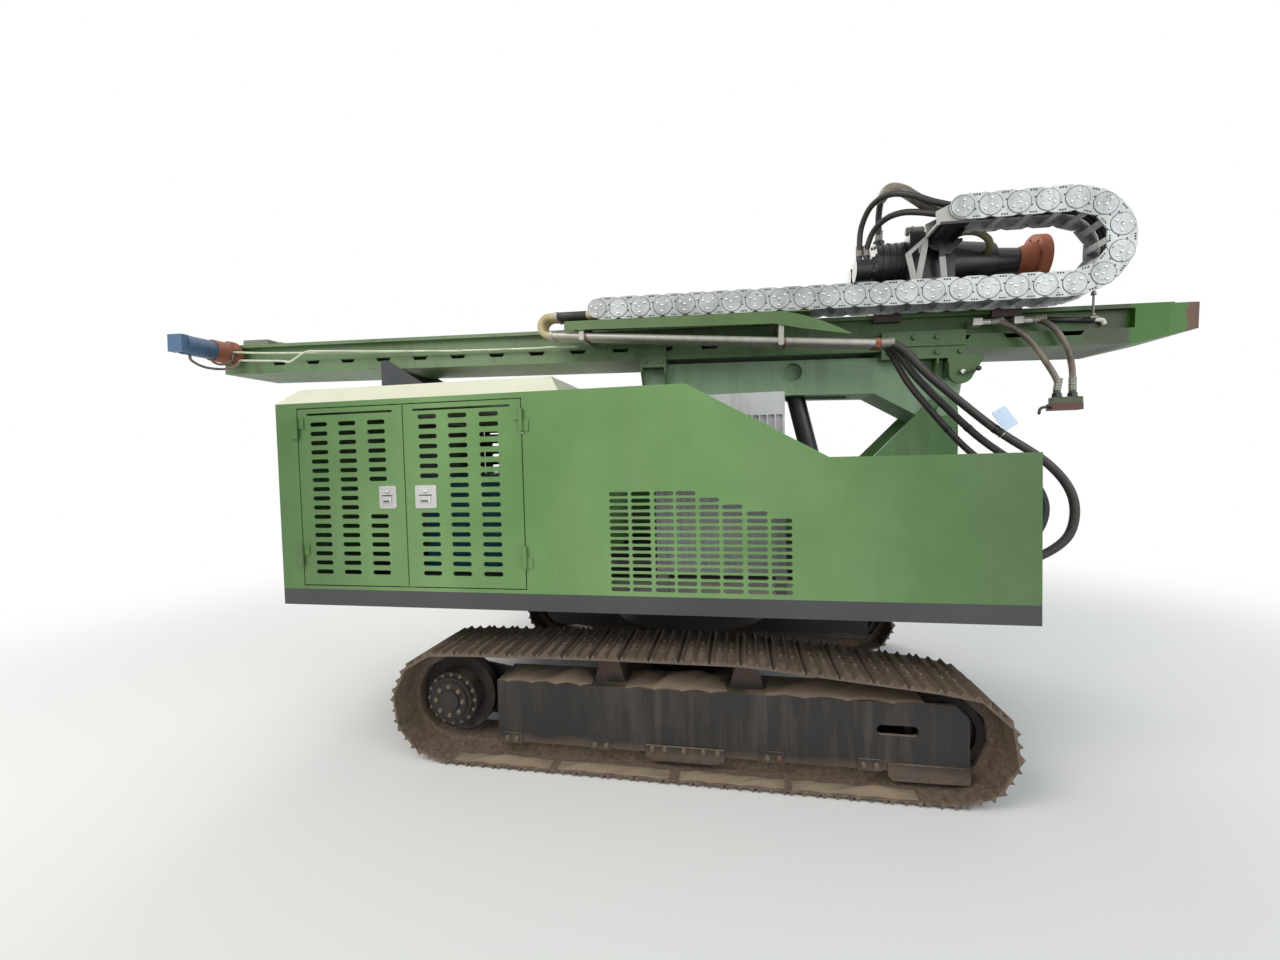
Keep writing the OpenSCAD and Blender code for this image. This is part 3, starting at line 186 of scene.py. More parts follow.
def rounded(width, height, radius):
    """Outline of a rectangle with round corners: each quarter circle about its corner's
    centre, walked counter-clockwise."""
    corner = 5
    a = np.radians([np.linspace(0, 90, corner) + q for q in (0, 90, 180, 270)]).ravel()
    sx = np.repeat([1, -1, -1, 1], corner) * (width / 2 - radius)
    sy = np.repeat([1, 1, -1, -1], corner) * (height / 2 - radius)
    return columns(sx + radius * np.cos(a), sy + radius * np.sin(a))


def plate(outline, height, edge):
    """Outline raised to a height, its last ring drawn towards the middle by edge."""
    inner = outline - edge * unit(outline - outline.mean(axis=0))
    rings = (outline, 0.0), (outline, height - edge), (inner, height)
    points = np.concatenate([columns(*ring.T, z) for ring, z in rings])
    return points, ring_faces(len(rings), len(outline))


def mound(x0, x1, y0, y1, base, height, seed):
    """Lumpy heap on a flat place. Over s and t from 0 to 1 the height is a rounded box,
    (1 - (2s-1)^4)(1 - (2t-1)^2), times a sum of sines whose phases come from seed."""
    rows, across, sunk = 60, 9, 4.0
    s, t = np.linspace(0, 1, rows)[:, None], np.linspace(0, 1, across)[None]
    lump = sum(np.sin(k * 7.1 * s + 1.7 * k * seed + 3 * t * k) / k for k in (1, 2, 3, 5, 8))
    z = base + height * (1 - (2 * s - 1) ** 4) * (1 - (2 * t - 1) ** 2) * (0.62 + 0.25 * lump)
    x = x0 + (x1 - x0) * s
    y = y0 + (y1 - y0) * (t + 0.04 * np.sin(23 * s + seed))
    top = columns(x, y, np.maximum(z, base + 0.5))
    under = columns(x, y[:, [-1, 0]], base - sunk)
    return np.concatenate([top, under], axis=1).reshape(-1, 3), ring_faces(rows, across + 2)


def moved(shape, place, turn=np.eye(3)):
    """One copy of a shape, turned and then moved."""
    return copies(shape, [place], turn)


def mirrored(shape):
    """Shape reflected to the machine's other side, its faces turned round."""
    points, faces = shape
    return points * [1, -1, 1], [f[::-1] for f in faces]


def in_rig(*shapes):
    """Shapes drawn in the rig's frame in millimetres, as one in metres."""
    points, faces = joined(*shapes)
    return points / 1000, faces


def in_arm(*shapes):
    """Shapes drawn in the arm's frame in millimetres, as one in the rig's in metres."""
    points, faces = joined(*shapes)
    return arm_points(points), faces


def add_object(name, data):
    """New object of the scene."""
    obj = bpy.data.objects.new(name, data)
    bpy.context.scene.collection.objects.link(obj)
    return obj


def add_piece(name, shape, material, body, slot, smooth=False):
    """Makes the mesh object, gives it its material and ties it to a body of the frame; where
    body is (first, second, start, end) it only bakes the object's place into its mesh."""
    points, faces = shape
    mesh = bpy.data.meshes.new(name)
    mesh.from_pydata(np.asarray(points).tolist(), [], faces)
    mesh.update()
    if smooth:
        # Only the quads: the caps of a tube stay flat
        sizes = np.empty(len(mesh.polygons), np.int32)
        mesh.polygons.foreach_get("loop_total", sizes)
        mesh.polygons.foreach_set("use_smooth", sizes == 4)
    mesh.materials.append(bpy.data.materials[material])
    obj = add_object(name, mesh)
    if isinstance(body, str):
        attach(obj, body)
    else:
        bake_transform(obj)
    return obj


def add_all(in_frame, *rows):
    """Adds pieces drawn in one frame, from rows of name, list of shapes, material, body and
    slot, and True for a smooth one."""
    for name, shapes, *rest in rows:
        add_piece(name, in_frame(*shapes), *rest)


def add_pair(name, shape, material, body, slot, sides=("left", "right"), smooth=False):
    """Adds a shape drawn on the first side, in millimetres, and its mirror image on the
    second. Name and body take the side's name at their braces."""
    for side, made in zip(sides, (shape, mirrored(shape))):
        add_piece(name.format(side), in_rig(made), material, body.format(side), slot, smooth)


def soft_copy(name, node, material, body, slot):
    """Copy of a frame node with its doubles merged, which stands for the node."""
    work = bmesh.new()
    work.from_mesh(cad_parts[node].data)
    bmesh.ops.remove_doubles(work, verts=work.verts, dist=1e-5)
    work.verts.index_update()
    shape = ([v.co[:] for v in work.verts], [[v.index for v in f.verts] for f in work.faces])
    work.free()
    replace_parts(add_piece(name, shape, material, body, slot), node)


# Small parts that many pieces repeat

def hex_bolt(width, height, washer):
    """Hexagonal head with a chamfer on a round washer; width is across the flats."""
    r = width / sqrt(3)
    head = turned([(r, 0.15 * height), (r, 0.85 * height), (r * 0.86, height)], 6)
    disc = turned([(washer, 0), (washer, 0.15 * height)], 12)
    return joined(disc, head)


def rivet(radius, height):
    """Flat dome: the radius falls to a fifth as the height rises on a quarter ellipse."""
    a = np.linspace(0, radians(78), 4)
    return turned(columns(radius * np.cos(a), height * np.sin(a)), 10)


# Materials

class Graph:
    """Shader tree with a short call for each kind of node that the finishes use. Where a
    call takes a value, that is a constant, hex digits of a colour or another node's output."""

    def __init__(self, tree):
        self.tree = tree

    def put(self, socket, value):
        """Links an output to the socket, or sets a constant on it."""
        if isinstance(value, bpy.types.NodeSocket):
            self.tree.links.new(value, socket)
        else:
            socket.default_value = linear(value) if isinstance(value, str) else value

    def put_all(self, sockets, values):
        for key, value in values.items():
            self.put(sockets[key], value)

    def node(self, kind, values, **options):
        """Outputs of a new node with its options and the values of its inputs."""
        node = self.tree.nodes.new("ShaderNode" + kind)
        for key, option in options.items():
            setattr(node, key, option)
        self.put_all(node.inputs, values)
        return node.outputs

    def spot(self):
        """Place on the object, in the frame of the rig."""
        return self.node("TexCoord", {})["Object"]

    def noise(self, vector, scale, detail, rough=0.55):
        return self.node("TexNoise", {"Vector": vector, "Scale": scale, "Detail": detail,
                                      "Roughness": rough})["Fac"]

    def ranged(self, value, low, high, to_low=0.0, to_high=1.0, **options):
        """Value carried from low and high to a new range and held inside it."""
        return self.node("MapRange", {"Value": value, "From Min": low, "From Max": high,
                                      "To Min": to_low, "To Max": to_high}, **options)["Result"]

    def op(self, kind, a, b):
        return self.node("Math", {0: a, 1: b}, operation=kind)[0]

    def times(self, a, b):
        return self.op("MULTIPLY", a, b)

    def plus(self, a, b):
        return self.op("ADD", a, b)

    def most(self, a, b):
        return self.op("MAXIMUM", a, b)

    def mix(self, factor, a, b):
        """Colour a turned into colour b by a factor."""
        return self.node("Mix", {0: factor, 6: a, 7: b}, data_type="RGBA")[2]

    def vector(self, kind, *values):
        """Outputs of a vector node, such as MULTIPLY, DOT_PRODUCT or LENGTH."""
        return self.node("VectorMath", dict(enumerate(values)), operation=kind)

    def group(self, name, values):
        return self.node("Group", values, node_tree=bpy.data.node_groups[name])

    def seen(self, *others):
        """1 for the camera's rays, the glossy ones and the others named, else 0."""
        rays = self.node("LightPath", {})
        share = self.most(rays["Is Camera Ray"], rays["Is Glossy Ray"])
        for name in others:
            share = self.most(share, rays[name])
        return share


def shader_group(name, inputs, outputs):
    """Node group whose inputs are colours, vectors or numbers, as their constants are.
    Returns its graph, the outputs of its start and the inputs of its end."""
    group = bpy.data.node_groups.new(name, "ShaderNodeTree")
    for label, value in inputs.items():
        value = linear(value) if isinstance(value, str) else value
        kind = {1: "Float", 3: "Vector", 4: "Color"}[np.size(value)]
        group.interface.new_socket(label, socket_type="NodeSocket" + kind).default_value = value
    for label in outputs:
        kind = "Color" if label == "Color" else "Float"
        group.interface.new_socket(label, in_out="OUTPUT", socket_type="NodeSocket" + kind)
    start, end = (group.nodes.new("NodeGroup" + side) for side in ("Input", "Output"))
    return Graph(group), start.outputs, end.inputs


def make_weather_group():
    """Weathered coat: fading in broad clouds, grime in vertical runs, rust in flecks and
    dust on faces that look up. Puts out a colour, a roughness and a height."""
    g, i, out = shader_group("weathered_coat", {
        "Base": (0.5, 0.5, 0.5, 1), "Faded": (0.6, 0.6, 0.6, 1), "Grime": "4a4038",
        "Rust": "6e3a22", "Dust": "a39880", "Cloud Scale": 1.6, "Fade": 0.6,
        "Run Amount": 0.3, "Run Scale": 9.0, "Rust Amount": 0.2, "Rust Scale": 11.0,
        "Dust Amount": 0.3, "Smooth": 0.4, "Rough": 0.8}, ("Color", "Roughness", "Height"))
    where = g.node("TexCoord", {})
    spot = where["Object"]
    cloud = g.ranged(g.noise(spot, i["Cloud Scale"], 5), 0.35, 0.65)
    colour = g.mix(g.times(cloud, i["Fade"]), i["Base"], i["Faded"])
    # Streaks ten times as long as wide, inside broad patches
    runs = g.noise(g.vector("MULTIPLY", spot, (1, 1, 0.1))[0], i["Run Scale"], 6, 0.65)
    patches = g.ranged(g.noise(spot, 1.1, 3), 0.35, 0.6)
    runs = g.times(g.times(g.ranged(runs, 0.46, 0.68), patches), i["Run Amount"])
    colour = g.mix(runs, colour, i["Grime"])
    up = g.ranged(g.node("SeparateXYZ", {0: where["Normal"]})["Z"], 0.55, 0.95)
    dusty = g.times(up, g.ranged(g.noise(spot, 5.0, 5), 0.3, 0.6))
    dusty = g.times(dusty, i["Dust Amount"])
    colour = g.mix(dusty, colour, i["Dust"])
    # The more rust, the lower the limit that a fleck's noise has to pass
    limit = g.ranged(i["Rust Amount"], 0, 1, 0.78, 0.42)
    fleck = g.ranged(g.noise(spot, i["Rust Scale"], 9, 0.7), limit, g.plus(limit, 0.05))
    colour = g.mix(fleck, colour, i["Rust"])
    fine = g.noise(spot, 160.0, 3)
    colour = g.mix(g.ranged(fine, 0.3, 0.9, 0.0, 0.12), colour, (0.02, 0.02, 0.02, 1))
    worn = g.most(g.most(g.most(runs, dusty), fleck), g.times(cloud, 0.4))
    height = g.plus(g.times(fleck, -0.4), g.times(fine, 0.25))
    height = g.plus(height, g.times(g.noise(spot, 22.0, 4), 0.5))
    g.put_all(out, {"Color": colour, "Height": height,
                    "Roughness": g.ranged(worn, 0.0, 1.0, i["Smooth"], i["Rough"])})


def make_mud_group():
    """Caked mud: thick below a level and in pockets, with a cracked, lumpy height."""
    g, i, out = shader_group("caked_mud", {
        "Color": (0.5, 0.5, 0.5, 1), "Mud": "7a6857", "Level": 0.3, "Depth": 0.3,
        "Amount": 0.5}, ("Color", "Mask", "Height"))
    spot = g.spot()
    height = g.node("SeparateXYZ", {0: spot})["Z"]
    near = g.ranged(height, i["Level"], g.op("SUBTRACT", i["Level"], i["Depth"]))
    lumps = g.noise(spot, 7.0, 8, 0.65)
    limit = g.ranged(i["Amount"], 0, 1, 0.9, 0.3)
    mask = g.ranged(g.plus(lumps, g.times(near, 0.35)), limit, g.plus(limit, 0.14))
    grain = g.noise(spot, 38.0, 7, 0.7)
    brown = g.mix(g.ranged(grain, 0.3, 0.7), i["Mud"], "4c3d32")
    g.put_all(out, {"Color": g.mix(mask, i["Color"], brown), "Mask": mask,
                    "Height": g.times(g.plus(grain, lumps), mask)})


ZONE_VALUES = ("Tint", "Axis", "From", "To", "Amount", "Ragged")


def make_zone_group():
    """Tint that sets in along a direction: the place along Axis, made ragged by noise,
    rises from nothing at From to Amount at To."""
    g, i, out = shader_group("zone_tint", {
        "Color": (0.5, 0.5, 0.5, 1), "Tint": (0.3, 0.2, 0.1, 1), "Axis": (1, 0, 0),
        "From": 0.0, "To": 1.0, "Amount": 1.0, "Ragged": 0.0}, ("Color", "Mask"))
    spot = g.spot()
    noise = g.ranged(g.noise(spot, 4.0, 7, 0.65), 0.0, 1.0, -1.0, 1.0)
    place = g.plus(g.vector("DOT_PRODUCT", spot, i["Axis"])["Value"], g.times(noise, i["Ragged"]))
    mask = g.times(g.ranged(place, i["From"], i["To"]), i["Amount"])
    g.put_all(out, {"Color": g.mix(mask, i["Color"], i["Tint"]), "Mask": mask})


def make_finish(name, base, faded, run, rust, dust, smooth, rough, bump, more=()):
    """Material of the weathered coat. More holds its other values, its metallic share, the
    zones as rows of ZONE_VALUES, and the values of the mud over it."""
    more = dict(more)
    metallic, zones, mud = more.pop("metallic", 0.0), more.pop("zones", ()), more.pop("mud", None)
    material = bpy.data.materials.new(name)
    material.use_nodes = True
    g = Graph(material.node_tree)
    coat = g.group("weathered_coat", {
        "Base": base, "Faded": faded, "Run Amount": run, "Rust Amount": rust,
        "Dust Amount": dust, "Smooth": smooth, "Rough": rough, **more})
    colour, roughness, height = coat["Color"], coat["Roughness"], coat["Height"]
    for zone in zones:
        colour = g.group("zone_tint", {"Color": colour, **dict(zip(ZONE_VALUES, zone))})["Color"]
    if mud:
        cake = g.group("caked_mud", {"Color": colour, **mud})
        colour = cake["Color"]
        roughness = g.most(roughness, g.times(cake["Mask"], 0.93))
        height = g.plus(height, g.times(cake["Height"], 2.5))
    normal = g.node("Bump", {"Strength": bump, "Distance": 0.004, "Height": height})["Normal"]
    g.put_all(g.tree.nodes["Principled BSDF"].inputs, {
        "Base Color": colour, "Roughness": roughness, "Normal": normal, "Metallic": metallic})


# Base and faded colour; shares of grime, rust and dust; roughness of the clean and of the
# worn coat; strength of the bump; then what differs from the values of the groups
FINISHES = {
    "panel_green": ("5a8145", "82a36c", 0.1, 0.0, 0.45, 0.4, 0.62, 0.05, {
        "Cloud Scale": 0.7, "Fade": 0.75, "Run Scale": 5.0, "Grime": "4c5a38", "zones": (
            # Painted shade: these two zones turn the panels darker towards the front and towards
            # the rear, lighter in the middle
            ("1c3a08", (1, 0, 0), 0.6, 2.4, 0.85, 0.25),
            ("27461c", (-1, 0, 0), 0.9, 1.9, 0.55, 0.3))}),
    "bracket_green": ("466b3a", "5f8552", 0.45, 0.1, 0.4, 0.42, 0.75, 0.12, {"Grime": "2f3a26"}),
    "tray_green": ("456232", "68824f", 0.3, 0.1, 0.4, 0.42, 0.7, 0.1, {"Run Scale": 12.0}),
    "arm_green": ("789872", "91a78a", 0.3, 0.03, 0.5, 0.45, 0.72, 0.12, {"Grime": "3c4536"}),
    "mast_green": ("587649", "76896a", 0.5, 0.16, 0.6, 0.42, 0.8, 0.2, {
        "Cloud Scale": 1.3, "Run Scale": 9.0, "Grime": "3d4029", "Rust": "3a2b1c", "zones": (
            ("274700", (1, 0, 0), 0.8, 2.3, 0.9, 0.3),
            ("2a1d10", (1, 0, 0), 2.7, 2.8, 0.6, 0.5),
            ("2c6200", (1, 0, 0), 2.92, 2.94, 0.9, 0.03),
            ("55291b", (1, 0, 0), 3.2, 3.21, 0.9, 0.1))}),
    # The roof is green paint; its cream colour is painted sunlight, the pale look of the sun on
    # it
    "roof_cream": ("dcdcc6", "cfceb0", 0.1, 0.0, 0.2, 0.4, 0.6, 0.05, {"Dust": "c9c29c"}),
    "band_grey": ("39393a", "484849", 0.2, 0.04, 0.4, 0.4, 0.65, 0.08),
    "rest_blue_grey": ("262c33", "353b42", 0.3, 0.12, 0.5, 0.45, 0.75, 0.15),
    "unit_blue": ("2f7c9c", "3f8fa8", 0.3, 0.05, 0.5, 0.4, 0.7, 0.12),
    "motor_blue": ("32587f", "5a7690", 0.45, 0.2, 0.4, 0.4, 0.7, 0.15),
    "worn_grey": ("75756d", "8d8b80", 0.4, 0.2, 0.4, 0.45, 0.8, 0.2),
    "oily_black": ("15161b", "26272d", 0.35, 0.08, 0.45, 0.32, 0.75, 0.3, {
        "Grime": "2c2622", "Dust": "6b6355"}),
    "chassis_black": ("2a2827", "3b3733", 0.5, 0.25, 0.9, 0.5, 0.9, 0.35, {"Dust": "6f6152"}),
    "gearbox_rust": ("8a4f38", "a0664a", 0.5, 0.4, 0.3, 0.6, 0.9, 0.35),
    "flange_rust": ("a4593c", "b9714f", 0.4, 0.35, 0.2, 0.6, 0.9, 0.35, {"Rust": "6a2f1c"}),
    "coupling_rust": ("4a2118", "5c3022", 0.5, 0.35, 0.3, 0.45, 0.85, 0.35, {
        "Rust": "2e1a14", "zones": (
            ("3a4727", (0, 0, 1), 1.903, 1.907, 0.9, 0.004),)}),
    "pipe_steel": ("a5a299", "c1bfb6", 0.4, 0.14, 0.4, 0.34, 0.55, 0.15, {
        "metallic": 0.4, "Run Scale": 20.0}),
    "bracket_black": ("15161b", "26272d", 0.35, 0.08, 0.45, 0.35, 0.7, 0.25, {
        "Grime": "2c2622", "Dust": "6b6355", "zones": (
            ("a8a8a2", (0, 0, -1), -2.815, -2.81, 0.9, 0.0),
            ("a8a8a2", (-1, 0, 0), -1.845, -1.842, 0.9, 0.0))}),
    "hose_worn": ("4b4338", "85796a", 0.4, 0.1, 0.5, 0.35, 0.65, 0.3, {
        "Cloud Scale": 9.0, "Fade": 0.9, "Grime": "2b2621"}),
    "end_grey": ("a3a39d", "bdbcb4", 0.35, 0.15, 0.4, 0.42, 0.7, 0.15),
    "sledge_maroon": ("3a2624", "4a3430", 0.4, 0.2, 0.4, 0.4, 0.8, 0.3, {
        "Grime": "1c1818", "Dust": "6b5a4c"}),
    "olive_sleeve": ("6d6845", "857f5c", 0.4, 0.1, 0.3, 0.5, 0.8, 0.3),
    "white_end": ("d9d6cb", "e6e3d8", 0.3, 0.1, 0.2, 0.4, 0.6, 0.1),
    "chain_zinc": ("9a9d9c", "bfc2c1", 0.55, 0.52, 0.3, 0.36, 0.65, 0.25, {
        "metallic": 0.3, "Cloud Scale": 7.0, "Fade": 0.95, "Run Scale": 24.0, "Grime": "55534d",
        "Rust": "3f3b35", "Rust Scale": 55.0}),
    "rod_chrome": ("8f9193", "9d9fa1", 0.1, 0.0, 0.1, 0.12, 0.3, 0.03, {"metallic": 1.0}),
    "stainless": ("c6c6c2", "d9d9d5", 0.15, 0.03, 0.2, 0.25, 0.45, 0.08, {"metallic": 0.9}),
    "cooler_alloy": ("aeb0ae", "c2c3c0", 0.3, 0.0, 0.4, 0.4, 0.65, 0.1, {"metallic": 0.4}),
    "hose_wrap": ("b3a378", "cbbd93", 0.6, 0.1, 0.3, 0.7, 0.95, 0.5, {
        "Cloud Scale": 6.0, "Fade": 0.9, "Run Scale": 14.0, "Grime": "5b5342"}),
    "hose_rubber": ("232221", "34312e", 0.4, 0.02, 0.7, 0.42, 0.75, 0.2, {
        "Grime": "5a4c3d", "Dust": "6d6152"}),
    "tag_blank": ("b4c8e0", "cfdbe8", 0.1, 0.0, 0.1, 0.35, 0.5, 0.03),
    "fastener_steel": ("7d7a72", "9a978d", 0.4, 0.4, 0.3, 0.4, 0.75, 0.15, {"metallic": 0.5}),
    "fastener_muddy": ("5e5044", "74634f", 0.4, 0.4, 0.5, 0.7, 0.95, 0.3),
    "track_muddy": ("5b4d42", "766556", 0.3, 0.3, 0.6, 0.6, 0.95, 0.6, {
        "Cloud Scale": 3.0, "Rust": "3a2a22", "Dust": "8a7a68",
        "mud": {"Mud": "7b6a59", "Level": 0.75, "Depth": 0.6, "Amount": 0.5}}),
    "frame_muddy": ("1d1a18", "2a2624", 0.6, 0.25, 1.0, 0.4, 0.9, 0.4, {
        "Run Scale": 14.0, "Grime": "574a3f", "Rust": "54331f", "Rust Scale": 16.0,
        "Dust": "80705e", "mud": {"Mud": "7b6a59", "Level": 0.16, "Depth": 0.12, "Amount": 0.28},
        "zones": (
            ("4a3128", (0, 0, 1), 0.46, 0.5, 0.85, 0.03),
            ("6b5a4c", (0, 0, -1), -0.15, -0.1, 0.6, 0.05))}),
    "drive_muddy": ("171211", "241c1a", 0.5, 0.35, 0.7, 0.55, 0.95, 0.5, {
        "Rust": "6b3a27", "Dust": "7b6a58",
        "mud": {"Mud": "6f5e4f", "Level": 0.3, "Depth": 0.3, "Amount": 0.35}}),
    "mud_dry": ("7d6b59", "8f7d69", 0.2, 0.0, 0.6, 0.9, 0.97, 0.9, {
        "Cloud Scale": 4.0, "Dust": "96866f"}),
    "pipe_pale": ("b9c3a8", "cfd6c2", 0.4, 0.15, 0.3, 0.35, 0.6, 0.1, {"metallic": 0.2}),
}

# The nodes of the frame that get each finish
NODE_FINISH = {
    "chassis_black": "car_body",
    "frame_muddy": "track_frames",
    "track_muddy": "track_right track_left",
    "drive_muddy": "final_drives idlers rollers",
    "band_grey": "base_frame",
    "panel_green": "engine_housing side_panel_right side_panel_left door_right_rear "
                   "door_right_front door_left_rear door_left_front",
    "roof_cream": "roof",
    "unit_blue": "power_unit",
    "mast_green": "hydraulic_tank mast_clamps mast",
    "oily_black": "valve_block cylinder_barrel head_gearbox head_motors",
    "cooler_alloy": "oil_cooler",
    "rest_blue_grey": "mast_rest",
    "bracket_green": "pivot_bracket",
    "arm_green": "arm",
    "rod_chrome": "cylinder_rod",
    "tray_green": "chain_tray",
    "motor_blue": "feed_motor",
    "gearbox_rust": "feed_gearbox",
    "worn_grey": "chain_tensioner",
    "pipe_steel": "mast_pipes",
    "hose_wrap": "hose_elbows",
    "chain_zinc": "chain_lower chain_bend chain_upper",
    "end_grey": "chain_end",
    "sledge_maroon": "head_sledge",
    "bracket_black": "chain_bracket",
    "flange_rust": "drive_flange",
    "coupling_rust": "coupling_block",
}


def paint_property(finish, name, description):
    """Colour setting that starts as a finish's base colour."""
    return FloatVectorProperty(name=name, description=description, subtype="COLOR", size=4,
                               min=0, max=1, default=linear(FINISHES[finish][0]))


class RigSettings(bpy.types.PropertyGroup):
    """Colours and sizes of the finish that a user would change."""
    panel: paint_property("panel_green", "Panel paint", "Paint of the body panels")
    mast: paint_property("mast_green", "Mast paint", "Paint of the mast and clamps")
    # The roof's default colour is its cream of painted sunlight on green paint
    roof: paint_property("roof_cream", "Roof paint", "Paint of the housing's roof")
    hose_sides: IntProperty(name="Hose sides", description="Sides of a hose's circle",
                            default=16, min=8, max=48)
    rivet_radius: FloatProperty(name="Rivet radius", description="Rivets of the hose chain",
                                default=0.0085, min=0.004, max=0.02,
                                subtype="DISTANCE", unit="LENGTH")
    lamp_power: FloatProperty(name="Key lamp", description="Power of the key lamp",
                              default=520.0, min=0, max=5000, unit="POWER")


def settings():
    return bpy.context.scene.rig_settings


class RIG_OT_materials(bpy.types.Operator):
    """Make the finishes and put one on every node of the frame"""
    bl_idname = "rig.materials"
    bl_label = "Finishes"

    def execute(self, context):
        make_weather_group()
        make_mud_group()
        make_zone_group()
        paints = {"panel_green": settings().panel, "mast_green": settings().mast,
                  "roof_cream": settings().roof}
        for name, (base, *values) in FINISHES.items():
            make_finish(name, paints.get(name, base), *values)
        for finish, nodes in NODE_FINISH.items():
            for node in nodes.split():
                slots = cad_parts[node].data.materials
                slots.clear()
                slots.append(bpy.data.materials[finish])
        return {"FINISHED"}


# The steel pipes on the mast, in the arm's frame: first and last point along and up, and
# place across and radius of each
PIPE_START, PIPE_END = (-2440.0, 500.0), (-430.0, 372.0)
PIPES = ((-470, 22), (-420, 20), (-370, 18))
PIPE_RUN, PIPE_DROP = PIPE_END[0] - PIPE_START[0], PIPE_END[1] - PIPE_START[1]
# Where they are clamped, and the middle of the coupling block
CLAMPS_U = (-2194, -964)
BLOCK_AT = (620, -290, 30)


def after_pipe(i, distance):
    """Point of the rig's frame, in millimetres, past the end of steel pipe i."""
    slope = atan2(PIPE_DROP, PIPE_RUN)
    u = PIPE_END[0] + distance * cos(slope)
    w = PIPE_END[1] + distance * sin(slope)
    return (arm_points([(u, PIPES[i][0], w)])[0] * 1000).tolist()


def on_block(x, z):
    """Point of the arm's frame over the coupling block's middle."""
    c, s = cos(TILT), sin(TILT)
    return [BLOCK_AT[0] + x * c - z * s, BLOCK_AT[1], BLOCK_AT[2] + x * s + z * c]


# Radius and route of each hose in millimetres, as the solids have them: the boom's in the
# rig's frame, the others in the arm's
VALVE_X = 2010.3
BOOM_HOSES = {
    "boom_hose_a": (23, [
        after_pipe(0, 0.3), after_pipe(0, 52), (1660, -471, 2225), (1790, -480, 2070),
        (2096, -500, 1775), (2370, -510, 1560), (2490, -510, 1370), (2470, -510, 1170),
        (2320, -505, 1045), (2140, -500, 1000), (VALVE_X, -500, 1000)]),
    "boom_hose_b": (21, [
        after_pipe(1, 0.3), after_pipe(1, 52), (1645, -419, 2215), (1760, -415, 2050),
        (2050, -415, 1735), (2290, -420, 1530), (2395, -425, 1350), (2370, -425, 1190),
        (2250, -425, 1080), (2130, -425, 1040), (VALVE_X, -425, 1040)]),
    "boom_hose_c": (19, [
        after_pipe(2, 0.3), after_pipe(2, 52), (1630, -368, 2200), (1730, -366, 2020),
        (1990, -365, 1690), (2190, -365, 1500), (2280, -365, 1340), (2255, -365, 1210),
        (2180, -365, 1110), (2090, -365, 1065), (VALVE_X, -365, 1065)])}
COUPLING_HOSES = {
    "coupling_hose_a": (16, [
        (230.3, -265, 516), (275, -265, 516), (335, -285, 476), (420, -295, 400),
        (500, -293, 290), on_block(-40, 130), on_block(-40, 70.3)]),
    "coupling_hose_b": (16, [
        (450.3, -265, 516), (498, -265, 516), (570, -278, 450), (625, -288, 345),
        (650, -290, 240), on_block(40, 130), on_block(40, 70.3)])}
HEAD_HOSES = {
    "head_hose_a": (18, [
        (-472, -85, 1008.3), (-472, -85, 1053), (-470, -118, 1180), (-435, -208, 1269),
        (-360, -315, 1283), (-263, -390, 1237), (-153, -424, 1173), (-28, -430, 1133),
        (19.7, -430, 1133)]),
    "head_hose_b": (18, [
        (-428, -85, 1008.3), (-428, -85, 1053), (-402, -130, 1144), (-350, -210, 1185),
        (-284, -292, 1180), (-211, -359, 1148), (-127, -407, 1109), (-28, -430, 1083),
        (19.7, -430, 1083)]),
    "head_hose_c": (20, [
        (-335, 0, 1129.3), (-335, 0, 1174), (-345, -30, 1279), (-350, -112, 1351),
        (-332, -220, 1359), (-285, -304, 1307), (-217, -346, 1232), (-132, -353, 1164),
        (-28, -347, 1128), (19.7, -347, 1128)])}
# Distance between the rings of a hose, in metres, and directions that the hoses never take
HOSE_STEP = 0.02
HANGING_SIDE, HEAD_SIDE = (0.11, 1, 0.07), (1, 1, 0.1)
# Height at which a boom hose's upper stretch ends, and the height of the first point given
# with its lower stretch's two bodies, in metres
SPLIT_Z, FREE_Z = 1.775, 1.24


def hose_tube(line, radius, side):
    """Tube with as many sides as hoses have."""
    return tube(line, radius, settings().hose_sides, side)


def hose_rings(line, radius, side):
    """Rings of a hose along a line, as (place on the line, place on the ring, axis)."""
    return hose_tube(line, radius, side)[0].reshape(len(line), -1, 3)


def make_run(name, node, rings, body, finish="hose_rubber"):
    """Stretch of hose from its line and rings, which stands for its node."""
    shape = rings.reshape(-1, 3), ring_faces(*rings.shape[:2])
    hose = add_piece(name, shape, finish, body, "hose", smooth=True)
    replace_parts(hose, node)


def sleeve(line, radius, side):
    """Crimped sleeve on the first end of a line: the radius swells and dips."""
    count = 13
    wave = radius * np.where((np.arange(count) % 3) == 1, 1.12, 1.22)
    reach = min(0.07, line_length(line) / 5) * unit(line[1] - line[0])
    return hose_tube(line[0] + np.linspace(0, 1, count)[:, None] * reach, wave, side)


def make_hose(name, radius, points, body, side, finish="hose_rubber"):
    """Round hose through points, in metres, with a crimped sleeve at each end."""
    line = smooth_line(points, HOSE_STEP)
    rings = hose_rings(line, radius, side)
    make_run(name + "_hose", name, rings, body, finish)
    ends = joined(sleeve(line, radius, side), sleeve(line[::-1], radius, side))
    add_piece(name + "_sleeves", ends, "fastener_steel", body, "steel")


